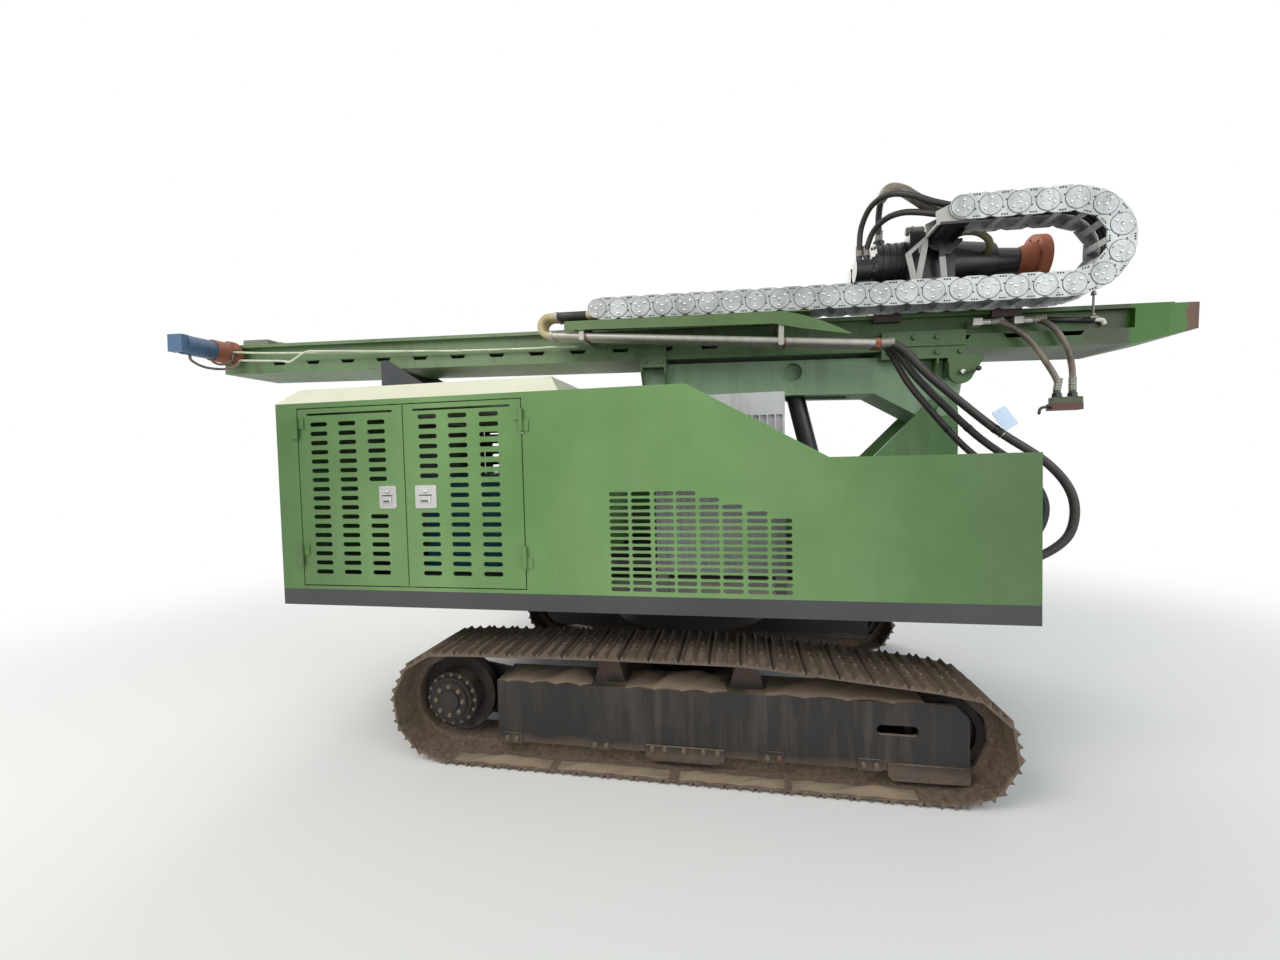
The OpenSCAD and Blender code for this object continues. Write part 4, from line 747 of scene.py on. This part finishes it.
def make_boom_hose(name, radius, points):
    """Hose from the mast's pipes to the valve block, cut into an upper and a lower stretch
    at SPLIT_Z, with a tie on the arm over their seam."""
    line = smooth_line(points, HOSE_STEP)
    cut = int(np.argmax(line[:, 2] < SPLIT_Z))
    rings = hose_rings(line, radius, HANGING_SIDE)
    seam = line[cut].tolist()
    make_run(name + "_upper", name, rings[:cut + 1],
             ("mast", "arm", line[3].tolist(), seam))
    make_run(name + "_lower", name, rings[cut:],
             ("superstructure", "arm", (*seam[:2], FREE_Z), seam))
    tie = line[cut] + unit(line[cut + 1] - line[cut - 1]) * [[-0.008], [0.008]]
    add_piece(name + "_tie", hose_tube(tie, radius + 0.002, HANGING_SIDE), "oily_black",
              "arm", "hose")
    for end, path, body in (("pipe", line, "mast"), ("valve", line[::-1], "superstructure")):
        add_piece(f"{name}_{end}_sleeve", sleeve(path, radius, HANGING_SIDE),
                  "fastener_steel", body, "steel")


class RIG_OT_hoses(bpy.types.Operator):
    """Make the hoses of the boom, the coupling block and the head"""
    bl_idname = "rig.hoses"
    bl_label = "Hoses"

    def execute(self, context):
        for name, (radius, points) in BOOM_HOSES.items():
            make_boom_hose(name, radius / 1000, np.asarray(points, float) / 1000)
        for name, (radius, points) in COUPLING_HOSES.items():
            make_hose(name, radius / 1000, arm_points(points), "mast", HANGING_SIDE,
                      "hose_worn")
        for name, (radius, points) in HEAD_HOSES.items():
            make_hose(name, radius / 1000, arm_points(points), "head", HEAD_SIDE)
        line = smooth_line(arm_points(HEAD_HOSES["head_hose_c"][1]), HOSE_STEP)
        line = line[int(0.3 * len(line)):int(0.93 * len(line))]
        last = len(line) - 1
        radius = np.interp(np.arange(last + 1), [0, 1, 2, last - 2, last], [22, 30, 33, 33, 24])
        add_piece("head_hose_c_cover", tube(line, radius / 1000, 20, HEAD_SIDE), "hose_worn",
                  "head", "hose", smooth=True)
        return {"FINISHED"}


# Local axes of a piece on the right side panels: X forward, Y up, Z out of the panel
RIGHT_OUT = np.array([[1, 0, 0], [0, 0, -1], [0, 1, 0.0]])
LEFT_OUT = np.array([[1, 0, 0], [0, 0, 1], [0, -1, 0.0]])
PANEL_Y, LATCH_Z = -1125.0, 1466.0


def latch(x, width):
    """Paddle latch: steel flange, dish, paddle and key disc with screws, and the black
    edges in between."""
    steel = [plate(rounded(width, 128, 12), 3.5, 1.2),
             plate(rounded(width - 34, 92, 8), 5.5, 1.5),
             slab(-width * 0.24, width * 0.24, -34, 4, 5, 15, 4),
             moved(turned([(9, 5), (9, 13), (7, 14)], 16), (0, 26, 0))]
    steel += [moved(rivet(4, 2.5), (sx * (width / 2 - 9), sy * 54, 3.5))
              for sx in (-1, 1) for sy in (-1, 1)]
    dark = [slab(-width * 0.3, width * 0.3, 6, 12, 5.4, 8, 1),
            moved(turned([(3.2, 13), (3.2, 15)], 8), (0, 26, 0)),
            slab(-width * 0.17, width * 0.17, -26, -18, 15, 18, 2)]
    return [moved(joined(*shapes), (x, PANEL_Y, LATCH_Z), RIGHT_OUT) for shapes in (steel, dark)]


class RIG_OT_latches(bpy.types.Operator):
    """Make the four paddle latches of the doors"""
    bl_idname = "rig.latches"
    bl_label = "Latches"

    def execute(self, context):
        for end, x, width in (("rear", -1216, 106), ("front", -983, 128)):
            for part, material, shape in zip(("plate", "grip"), ("stainless", "oily_black"),
                                             latch(x, width)):
                add_pair(f"latch_{part}_{{}}_{end}", shape, material, f"{{}}_{end}_door",
                         "steel", ("right", "left"))
        return {"FINISHED"}


# The hose chain, in the arm's frame, in millimetres: its middle, half width and pitch, the
# thickness of the discs on its joints, the height of its lower run and the bend's place
CHAIN_Y, CHAIN_HALF, CHAIN_PITCH = -390.0, 100.0, 140.0
DISC = 3.0
LOW_W, BEND_U = 650.0, 540.0
LOW_LINKS, BEND_LINKS, UP_LINKS = 19, 5, 4
BEND_STEP = pi / BEND_LINKS
BEND_R = CHAIN_PITCH / (2 * sin(BEND_STEP / 2))
TOP_W = LOW_W + 2 * BEND_R
LOW_END, UP_END = BEND_U - LOW_LINKS * CHAIN_PITCH, BEND_U - UP_LINKS * CHAIN_PITCH
# The discs' rivets, and the screws over and under each link's middle
CHAIN_RIVETS = ((-31, 15), (-3, 1), (28, 22), (-5, -35))
CHAIN_SCREWS = [(x, z) for z in (-59, 59) for x in (-13, 0, 13)] + [(-7, -20), (7, 20)]
# The hoses inside: place across, radius and lift
CHAIN_HOSES = ((-62, 19, 4), (-19, 21, -6), (24, 19, 3), (62, 14, 0))


def chain_stations(middle):
    """Joints of the chain, or the middles of its links, for each body that carries some:
    rows of place along the arm, height and heading."""
    half, more = (0.5, 0) if middle else (0.0, 1)
    low = BEND_U - CHAIN_PITCH * (np.arange(LOW_LINKS + more) + half)
    up = BEND_U - CHAIN_PITCH * (np.arange(UP_LINKS + more) + half)
    a = -pi / 2 + BEND_STEP * (np.arange(more, BEND_LINKS) + half)
    r = BEND_R * (cos(BEND_STEP / 2) if middle else 1.0)
    rows = {"mast": (low, LOW_W, 0.0),
            "chain_bend": (BEND_U + r * np.cos(a), LOW_W + BEND_R + r * np.sin(a),
                           a + pi / 2),
            "head": (up, TOP_W, pi)}
    return {body: columns(*row) for body, row in rows.items()}


def on_chain(stations, pattern, reach):
    """Places of a pattern of (along, up) at each station, on both outer faces of the
    chain, and the turns that face them outward."""
    c, s = np.cos(stations[:, 2:3]), np.sin(stations[:, 2:3])
    x, z = np.asarray(pattern, float).T
    u = (stations[:, :1] + x * c - z * s).ravel()
    w = (stations[:, 1:2] + x * s + z * c).ravel()
    places = [columns(u, CHAIN_Y + side * (CHAIN_HALF + reach), w) for side in (-1, 1)]
    turns = [np.broadcast_to(facing((0, side, 0)), (len(u), 3, 3)) for side in (-1, 1)]
    return np.concatenate(places), np.concatenate(turns)


def chain_bodies():
    """What each part of the chain rides on: a body's name for the bend, and for each run two
    bodies and two points along it, the lower one from its fixed end, the upper one to the head's."""
    ends = [(LOW_END, LOW_W), (BEND_U, LOW_W), (2 * BEND_U - UP_END, TOP_W), (UP_END, TOP_W)]
    a, b, c, d = arm_points([(u, CHAIN_Y, w) for u, w in ends]).tolist()
    return {"mast": ("mast", "chain_bend", a, b), "chain_bend": "chain_bend",
            "head": ("mast", "head", c, d)}


class RIG_OT_chain(bpy.types.Operator):
    """Make the runs of the hose chain, its discs, rivets and small screws, and its hoses"""
    bl_idname = "rig.chain"
    bl_label = "Hose chain"

    def execute(self, context):
        bodies, joints, middles = chain_bodies(), chain_stations(False), chain_stations(True)
        soft_copy("chain_lower_run", "chain_lower", "chain_zinc", bodies["mast"], "steel")
        soft_copy("chain_upper_run", "chain_upper", "chain_zinc", bodies["head"], "steel")
        trims = (
            ("discs", turned([(58, 0.6), (58, DISC - 1), (56.5, DISC)], 32), joints, [(0, 0)],
             0, "chain_zinc"),
            # A dark ring a little wider than each disc outlines it: painted shade and dirt in the
            # gap at the disc's edge
            ("dark_rings", turned([(61, 0), (61, 0.7), (60, 0.8)], 32), joints, [(0, 0)], 0,
             "oily_black"),
            ("rivets", rivet(settings().rivet_radius * 1000, 5), joints, CHAIN_RIVETS, DISC,
             "stainless"),
            ("screws", rivet(5, 2.6), middles, CHAIN_SCREWS, 0, "oily_black"))
        for body, ride in bodies.items():
            for part, shape, stations, pattern, reach, material in trims:
                made = copies(shape, *on_chain(stations[body], pattern, reach))
                add_piece(f"chain_{part}_{body}", in_arm(made), material, ride, "steel")
        a = np.linspace(-pi / 2, pi / 2, 25)
        routes = {"mast": ([LOW_END + 20, BEND_U], [LOW_W, LOW_W]),
                  "chain_bend": (BEND_U + BEND_R * np.cos(a), LOW_W + BEND_R * (1 + np.sin(a))),
                  "head": ([BEND_U, UP_END + 49], [TOP_W, TOP_W])}
        for body, (u, w) in routes.items():
            hoses = [tube(columns(u, CHAIN_Y + y, np.asarray(w) + lift), r, 10, (0, 1, 0))
                     for y, r, lift in CHAIN_HOSES]
            add_piece("chain_hoses_" + body, in_arm(*hoses), "hose_rubber",
                      bodies[body], "hose", smooth=True)
        return {"FINISHED"}


# The track's pin line, in millimetres: sprocket, two skids, idler and the level below.
# Then the count of its shoes, its middle and the outer face of its frame
SPROCKET, SPROCKET_R = np.array([-910.0, 316.0]), 261.0
IDLER, IDLER_R = np.array([1664.0, 278.0]), 223.0
SKIDS = np.array([[-2.0, 592.0], [722.0, 592.0]])
PIN_LOW_Z = SPROCKET[1] - SPROCKET_R
SHOES, TRACK_Y, FRAME_Y = 44, 950.0, 1070.0
# Bolts on the frame's face as (along, up), and the ends of the middle guard, where they
# stand further out; then the tabs under the other bolts
FRAME_BOLTS = (
    (-572, 124), (-520, 122), (-75, 124), (-12, 124), (236, 128), (300, 128), (400, 128),
    (500, 128), (572, 128), (820, 124), (878, 124), (1276, 126), (1334, 126))
GUARD_FROM, GUARD_TO = 200, 606
TABS_X, TABS_Z = (-546, -43, 849, 1305), 126
# Rings of bolts on the drive: radius, distance from the frame's face, count and size
DRIVE_BOLTS = ((80, 20, 8, 22), (137, -10, 16, 18))
# Mud on the frame's top and on its lower edge: sides, level, first seed, and the heaps as
# (from, to, height)
MUD = ((838, 1062, 440, 0, ((-600, -95, 46), (95, 625, 52), (815, 1560, 40))),
       (1088, 1170, 29, 5, ((-850, -300, 26), (-260, 330, 20), (380, 900, 24),
                            (930, 1500, 30))))


def tangent_angle(centre, radius, point, sign):
    """Angle on a circle at which a line to the point leaves it, on one of its sides."""
    d = point - centre
    return atan2(d[1], d[0]) + sign * acos(radius / np.hypot(*d))


def track_pins():
    """Ends of the shoes, walked round the loop by arc length from the sprocket's foot."""
    a = np.linspace(1.5 * pi, tangent_angle(SPROCKET, SPROCKET_R, SKIDS[0], 1), 25)
    b = np.linspace(tangent_angle(IDLER, IDLER_R, SKIDS[1], -1), -pi / 2, 25)
    line = np.vstack([SPROCKET + SPROCKET_R * columns(np.cos(a), np.sin(a)), SKIDS,
                      IDLER + IDLER_R * columns(np.cos(b), np.sin(b)),
                      [[SPROCKET[0], PIN_LOW_Z]]])
    s = np.concatenate([[0], np.cumsum(np.hypot(*np.diff(line, axis=0).T))])
    at = np.arange(SHOES + 1) * s[-1] / SHOES
    return columns(np.interp(at, s, line[:, 0]), np.interp(at, s, line[:, 1]))


def shoe_bolts():
    """Four bolts on the outside of each shoe of the left track."""
    pins = track_pins()
    step = pins[1:] - pins[:-1]
    out = unit(step)[:, ::-1] * [-1, 1]
    places, turns = [], []
    for share in (0.305, 0.695):
        spots = pins[:-1] + share * step + 37 * out
        for y in (-48, 48):
            places.append(np.insert(spots, 1, TRACK_Y + y, axis=1))
            turns.append([facing((n[0], 0, n[1])) for n in out])
    return copies(hex_bolt(20, 9, 13), np.concatenate(places), np.concatenate(turns))


class RIG_OT_tracks(bpy.types.Operator):
    """Make the shoe bolts, the frame's bolts and tabs, and the caked mud"""
    bl_idname = "rig.tracks"
    bl_label = "Track trim"

    def execute(self, context):
        bolts = []
        for x, z in FRAME_BOLTS:
            reach = 12 if GUARD_FROM < x < GUARD_TO else 6
            bolts.append(moved(hex_bolt(24, 13, 15), (x, FRAME_Y + reach, z), LEFT_OUT))
        bolts += [moved(hex_bolt(size, size / 2, size * 0.62),
                        (SPROCKET[0] + r * cos(a), FRAME_Y + reach,
                         SPROCKET[1] + r * sin(a)), LEFT_OUT)
                  for r, reach, count, size in DRIVE_BOLTS
                  for a in np.arange(count) * 2 * pi / count]
        tabs = [moved(plate(rounded(116, 58, 10), 6, 1.5), (x, FRAME_Y, TABS_Z), LEFT_OUT)
                for x in TABS_X]
        mud = [mound(x0, x1, y0, y1, level, height, seed)
               for y0, y1, level, first, heaps in MUD
               for seed, (x0, x1, height) in enumerate(heaps, first)]
        for name, shape, material in (("shoe_bolts", shoe_bolts(), "fastener_muddy"),
                                      ("frame_bolts", joined(*bolts), "fastener_muddy"),
                                      ("frame_tabs", joined(*tabs), "frame_muddy"),
                                      ("mud", joined(*mud), "mud_dry")):
            add_pair(name + "_{}", shape, material, "undercarriage", "track_steel",
                     smooth=name == "mud")
        return {"FINISHED"}


# Routes of thin lines, in the rig's frame: two pipes along the mast, two hoses of the feed
THIN_PIPES = (
    [(-3080, -330, 2544), (-2700, -300, 2520), (-1500, -275, 2462), (-700, -272, 2432),
     (-560, -291, 2427), (-337, -293, 2418)],
    [(-2990, -360, 2470), (-2640, -350, 2448), (-2560, -345, 2440), (-2440, -330, 2505),
     (-2300, -310, 2507), (-1750, -290, 2476), (-1209, -280, 2446)])
FEED_LINES = (
    [(-3160, -590, 2482), (-3156, -585, 2440), (-3120, -520, 2400), (-3060, -430, 2398),
     (-3010, -370, 2430), (-2992, -360, 2466)],
    [(-3118, -470, 2486), (-3112, -465, 2450), (-3092, -420, 2436), (-3074, -350, 2470),
     (-3078, -332, 2530)])


class RIG_OT_pipes(bpy.types.Operator):
    """Make the thin pipes, the clamps and the stud on the mast's right side"""
    bl_idname = "rig.pipes"
    bl_label = "Thin pipes"

    def execute(self, context):
        thin = [tube(smooth_line(points, 40), 8, 10, (0.1, 1, 0.1)) for points in THIN_PIPES]
        add_all(in_rig, ("thin_pipes", thin, "pipe_pale", "mast", "steel", True))
        x, y = 755, -278
        stud = [tube(np.array([(x, y, 520), (x, y, 672)]), 6, 10, (0, 1, 0)),
                moved(hex_bolt(24, 18, 15), (x, y, 640)),
                moved(hex_bolt(24, 12, 15), (x, y, 522)),
                slab(x - 20, x + 20, -292, -200.3, 508, 520, 2)]
        # Clamps bow a little past half round under the pipes, whose ends have nuts
        a = np.linspace(-0.3, pi + 0.3, 13)
        rings = []
        for y, r in PIPES:
            for u in CLAMPS_U:
                w = PIPE_START[1] + (u - 26 - PIPE_START[0]) * PIPE_DROP / PIPE_RUN
                bow = columns(float(u), y + (r + 4) * np.cos(a), w - (r + 4) * np.sin(a))
                rings.append(tube(bow, 4, 8, (1, 0, 0)))
            rings.append(moved(hex_bolt(2.3 * r, 30, 1.3 * r),
                               (PIPE_END[0] - 1, y, PIPE_END[1] + 0.5), facing((-1, 0, 0))))
        add_all(in_arm, ("mast_stud", stud, "fastener_steel", "mast", "steel"),
                ("pipe_clamps", rings, "gearbox_rust", "mast", "steel"))
        return {"FINISHED"}


def capped(line, radius):
    """Tube whose ends are drawn in, so that they look turned."""
    line = np.asarray(line, float)
    tips = line[[0, -1]] + unit(line[[0, -1]] - line[[1, -2]]) * radius * 0.25
    radii = np.full(len(line) + 2, float(radius))
    radii[[0, -1]] = 0.7 * radius
    return tube(np.vstack([tips[:1], line, tips[1:]]), radii, 14, (0.13, 1, 0.09))


def bent(points, step, radius):
    """Capped tube along a smooth line."""
    return capped(smooth_line(points, step), radius)


def ball(centre, radius):
    """Sphere: a half circle of radius carried round."""
    a = np.linspace(-1.45, 1.45, 9)
    return moved(turned(columns(radius * np.cos(a), radius * np.sin(a)), 14), centre)


class RIG_OT_details(bpy.types.Operator):
    """Make the handles, sleeves, nuts, elbows and the drum on the gearbox"""
    bl_idname = "rig.details"
    bl_label = "Small pieces"

    def execute(self, context):
        handle = bent([(82, -291, 222), (108, -293, 216), (136, -297, 224),
                       (156, -300, 236)], 12, 5)
        cap = moved(turned([(13, 0), (13, 3), (9, 5)], 16), (80, -290, 225), facing((0, -1, 0)))
        rod = capped([(529, -218, 528), (680, -218, 520), (796, -218, 514)], 15)
        rod_end = bent([(798, -218, 514), (822, -218, 513), (840, -219, 507),
                        (848, -220, 486)], 8, 13)
        sleeves = [capped([(u, y, 620) for u in (-2392, -2300, -2196)], r + 4) for y, r in PIPES]
        rings = [capped([(-2404, y, 620), (-2388, y, 620)], r + 7) for y, r in PIPES]
        rings += [capped([(-2440, y, 500), (-2420, y, 499)], r + 6) for y, r in PIPES]
        drum = [capped([(-206, -140, 1127), (-112, -140, 1127)], 26),
                moved(turned([(31, 0), (31, 10)], 20), (-180, -140, 1127), facing((1, 0, 0)))]
        elbow = bent([(63, -150, 1078), (115, -176, 1086), (185, -190, 1070),
                      (238, -190, 1028), (259, -166, 992), (264, -122, 972)], 10, 20)
        c, s = cos(TILT), sin(TILT)
        level = np.array([[c, 0, -s], [0, 1, 0], [s, 0, c]])
        nuts = [moved(hex_bolt(46, 24, 27), on_block(x, 31), level) for x in (-40, 40)]
        lever = bent([on_block(-80, -26), on_block(-108, -24), on_block(-126, -34),
                      on_block(-132, -62)], 8, 8)
        lines = [bent(points, 15, 9) for points in FEED_LINES]
        add_all(in_arm,
                ("lug_handle", [handle, ball((160, -301, 239), 15)], "oily_black", "arm",
                 "black", True),
                ("lug_pin_cap", [cap], "white_end", "arm", "steel"),
                ("mast_rod", [rod], "oily_black", "mast", "black", True),
                ("mast_rod_end", [rod_end], "white_end", "mast", "steel", True),
                ("elbow_sleeves", sleeves, "hose_rubber", "mast", "hose", True),
                ("elbow_collars", rings, "pipe_steel", "mast", "steel"),
                ("gearbox_filter", drum, "worn_grey", "head", "grey"),
                ("gearbox_elbow", [elbow], "olive_sleeve", "head", "hose", True),
                ("coupling_nuts", nuts, "oily_black", "coupler", "black"),
                ("coupling_lever", [lever], "oily_black", "coupler", "black", True))
        add_all(in_rig, ("feed_motor_lines", lines, "hose_worn", "mast", "hose", True))
        return {"FINISHED"}


# Bolts of the arm's clamps: width and height of the head, radius of the washer, and places.
# One is left out where a coupling hose passes as the mast slides
CLAMP_BOLT, CLAMP_Y = (26, 14, 17), 266
CLAMP_BOLTS = [(u, w) for w in (350, 440) for u in (-1850, -1740, -330, -190, -60, 70)]
CLAMP_BOLTS.remove((70, 440))
# Rings of bolts: centre, radius, count, size of the head and axis
MOTOR_FACE, MOTOR_SIDE = (76, 8, 9, (-1, 0, 0)), 85
HEAD_BOLTS = (((-397, -MOTOR_SIDE, 920), *MOTOR_FACE), ((-397, MOTOR_SIDE, 920), *MOTOR_FACE),
              ((-375, 0, 964), 125, 10, 16, (-1, 0, 0)), ((60.3, 0, 950), 166, 4, 20, (1, 0, 0)))
FEED_BOLTS = (((-5125, -300.3, 515), 84, 8, 16, (0, -1, 0)),
              ((-5125, -430.3, 515), 58, 6, 14, (0, 1, 0)))
SLEWING_BOLTS = ((360, 0, 746), 436, 24, 22, (0, 0, 1))


def bolt_ring(centre, radius, count, size, axis):
    """Bolts on a circle about a centre, that face along its axis."""
    a = (np.arange(count) + 0.5) * 2 * pi / count
    turn = facing(axis)
    ring = np.asarray(centre, float) + radius * (np.cos(a)[:, None] * turn[:, 0]
                                                 + np.sin(a)[:, None] * turn[:, 1])
    return copies(hex_bolt(size, size * 0.55, size * 0.68), ring, turn)


class RIG_OT_fasteners(bpy.types.Operator):
    """Make the bolts of clamps, gearboxes, motors and brackets"""
    bl_idname = "rig.fasteners"
    bl_label = "Fasteners"

    def execute(self, context):
        clamps = [moved(hex_bolt(*CLAMP_BOLT), (u, side * CLAMP_Y, w), facing((0, side, 0)))
                  for side in (-1, 1) for u, w in CLAMP_BOLTS]
        head, feed = ([bolt_ring(*row) for row in rows] for rows in (HEAD_BOLTS, FEED_BOLTS))
        ring = [bolt_ring(*SLEWING_BOLTS)]
        add_all(in_arm, ("clamp_bolts", clamps, "mast_green", "arm", "green_dark"),
                ("head_bolts", head, "fastener_steel", "head", "black"),
                ("feed_bolts", feed, "fastener_steel", "mast", "rust"))
        add_all(in_rig, ("ring_bolts", ring, "fastener_muddy", "undercarriage", "frame_dark"))
        return {"FINISHED"}


# Middle of the tag, in the rig's frame in millimetres; share of boom hose a's route at
# which its wire goes round, and the radius of that turn
TAG_AT = np.array([2146.0, -532.0, 1816.0])
TAG_HOSE, TAG_HOSE_R = 0.40, 27.0


class RIG_OT_tag(bpy.types.Operator):
    """Make the blank tag that hangs on a wire from the boom hoses"""
    bl_idname = "rig.tag"
    bl_label = "Blank tag"

    def execute(self, context):
        turn = facing((0.05, -0.97, 0.2), radians(30))
        tag = moved(plate(rounded(84, 122, 11), 2.2, 0.6), TAG_AT, turn)
        add_piece("tag", in_rig(tag), "tag_blank", "arm", "hose")
        knot = TAG_AT + turn @ np.array([0, 50, 3])
        line = smooth_line(BOOM_HOSES["boom_hose_a"][1], HOSE_STEP * 1000)
        spot = int(TAG_HOSE * len(line))
        along = unit(line[spot + 1] - line[spot - 1])
        out = unit(knot - line[spot] - np.dot(knot - line[spot], along) * along)
        across = np.cross(along, out)
        a = np.linspace(0, 2 * pi, 19)[:, None]
        ring = line[spot] + TAG_HOSE_R * (np.cos(a) * out + np.sin(a) * across)
        start = smooth_line([knot, (knot + ring[0]) / 2 + 8 * across, ring[0]], 6)
        ring += np.linspace(0, 5, len(a))[:, None] * along
        wire = tube(np.vstack([start[:-1], ring]), 1.6, 6, along)
        add_piece("tag_wire", in_rig(wire), "stainless", "arm", "hose")
        return {"FINISHED"}


def as_matrix(turn, place):
    """4x4 matrix of a turn and a place."""
    m = np.eye(4)
    m[:3, :3] = turn
    m[:3, 3] = place
    return Matrix(m.tolist())


def make_floor():
    """Pale floor, which turns into the white of the backdrop past the rig's shadow."""
    size = 60.0
    mesh = bpy.data.meshes.new("floor")
    mesh.from_pydata([(-size, -size, 0), (size, -size, 0), (size, size, 0), (-size, size, 0)],
                     [], [(0, 1, 2, 3)])
    material = bpy.data.materials.new("floor_pale")
    material.use_nodes = True
    mesh.materials.append(material)
    g = Graph(material.node_tree)
    shader = g.tree.nodes["Principled BSDF"]
    g.put_all(shader.inputs, {"Base Color": "e6e5e2", "Roughness": 0.9})
    flat = g.vector("MULTIPLY", g.spot(), (1, 1, 0))[0]
    far = g.vector("LENGTH", flat)["Value"]
    fade = g.ranged(far, 3.2, 8.0, interpolation_type="SMOOTHERSTEP")
    glow = g.node("Emission", {"Color": (1, 1, 1, 1), "Strength": 1.0})
    mix = g.node("MixShader", {0: g.times(fade, g.seen()), 1: shader.outputs[0], 2: glow[0]})
    g.put(g.tree.nodes["Material Output"].inputs["Surface"], mix[0])
    add_object("floor", mesh)


def make_world():
    """Pale blue light from all sides, seen as white."""
    world = bpy.data.worlds.new("studio")
    bpy.context.scene.world = world
    world.use_nodes = True
    g = Graph(world.node_tree)
    light = g.tree.nodes["Background"]
    g.put_all(light.inputs, {"Color": (0.86, 0.93, 1.0, 1), "Strength": 0.55})
    white = g.node("Background", {"Color": (1, 1, 1, 1), "Strength": 1.0})
    seen = g.seen("Is Transmission Ray")
    mix = g.node("MixShader", {0: seen, 1: light.outputs[0], 2: white[0]})
    g.put(g.tree.nodes["World Output"].inputs["Surface"], mix[0])


# Lamps: place, aim, width, share of the key lamp's power and colour
LAMPS = {"key": ((-4.5, -6.5, 7.5), (0, 0, 1.2), 5.0, 1.0, (1, 0.96, 0.9)),
         "fill": ((6.5, -6.0, 4.5), (0.5, 0, 1.2), 6.0, 0.55, (0.93, 0.97, 1)),
         "back": ((-2.0, 7.5, 6.0), (0, 0, 1.5), 6.0, 0.8, (1, 0.97, 0.92))}
# The camera that was fitted to the photograph: its place, lens, and what is right and down
CAMERA_AT, CAMERA_LENS = (0.690, -3.690, 1.630), 14.515
CAMERA_RIGHT = np.array([0.98302, 0.18173, -0.025098])
CAMERA_DOWN = np.array([-0.018124, -0.039935, -0.99903])


class RIG_OT_stage(bpy.types.Operator):
    """Make the floor, the lamps, the world and the camera"""
    bl_idname = "rig.stage"
    bl_label = "Stage"

    def execute(self, context):
        make_floor()
        make_world()
        for name, (place, aim, width, power, colour) in LAMPS.items():
            data = bpy.data.lights.new(name, "AREA")
            data.size, data.color = width, colour
            data.energy = settings().lamp_power * power
            lamp = add_object(name, data)
            lamp.matrix_world = as_matrix(facing(np.subtract(place, aim)), place)
        data = bpy.data.cameras.new("camera")
        data.lens, data.sensor_width = CAMERA_LENS, 36.0
        camera = add_object("camera", data)
        right = unit(CAMERA_RIGHT)
        up = unit(np.dot(CAMERA_DOWN, right) * right - CAMERA_DOWN)
        turn = np.stack([right, up, np.cross(right, up)], axis=1)
        camera.matrix_world = as_matrix(turn, CAMERA_AT)
        context.scene.camera = camera
        context.scene.view_settings.view_transform = "Standard"
        return {"FINISHED"}


OPERATORS = [RIG_OT_materials, RIG_OT_hoses, RIG_OT_latches, RIG_OT_chain, RIG_OT_tracks,
             RIG_OT_pipes, RIG_OT_details, RIG_OT_fasteners, RIG_OT_tag, RIG_OT_stage]
STEPS = [cls.bl_idname for cls in OPERATORS]


class RIG_PT_panel(bpy.types.Panel):
    """Buttons for each group of pieces"""
    bl_label = "Piling rig"
    bl_idname = "RIG_PT_panel"
    bl_space_type = "VIEW_3D"
    bl_region_type = "UI"
    bl_category = "Piling rig"

    def draw(self, context):
        for key in RigSettings.__annotations__:
            self.layout.prop(context.scene.rig_settings, key)
        for step in STEPS:
            self.layout.operator(step)


CLASSES = [RigSettings, *OPERATORS, RIG_PT_panel]


def register():
    for cls in CLASSES:
        bpy.utils.register_class(cls)
    bpy.types.Scene.rig_settings = PointerProperty(type=RigSettings)


def unregister():
    del bpy.types.Scene.rig_settings
    for cls in reversed(CLASSES):
        bpy.utils.unregister_class(cls)


def main():
    """Runs every operator in order."""
    register()
    for step in STEPS:
        getattr(bpy.ops.rig, step.split(".")[1])()


if __name__ == "__main__":
    main()
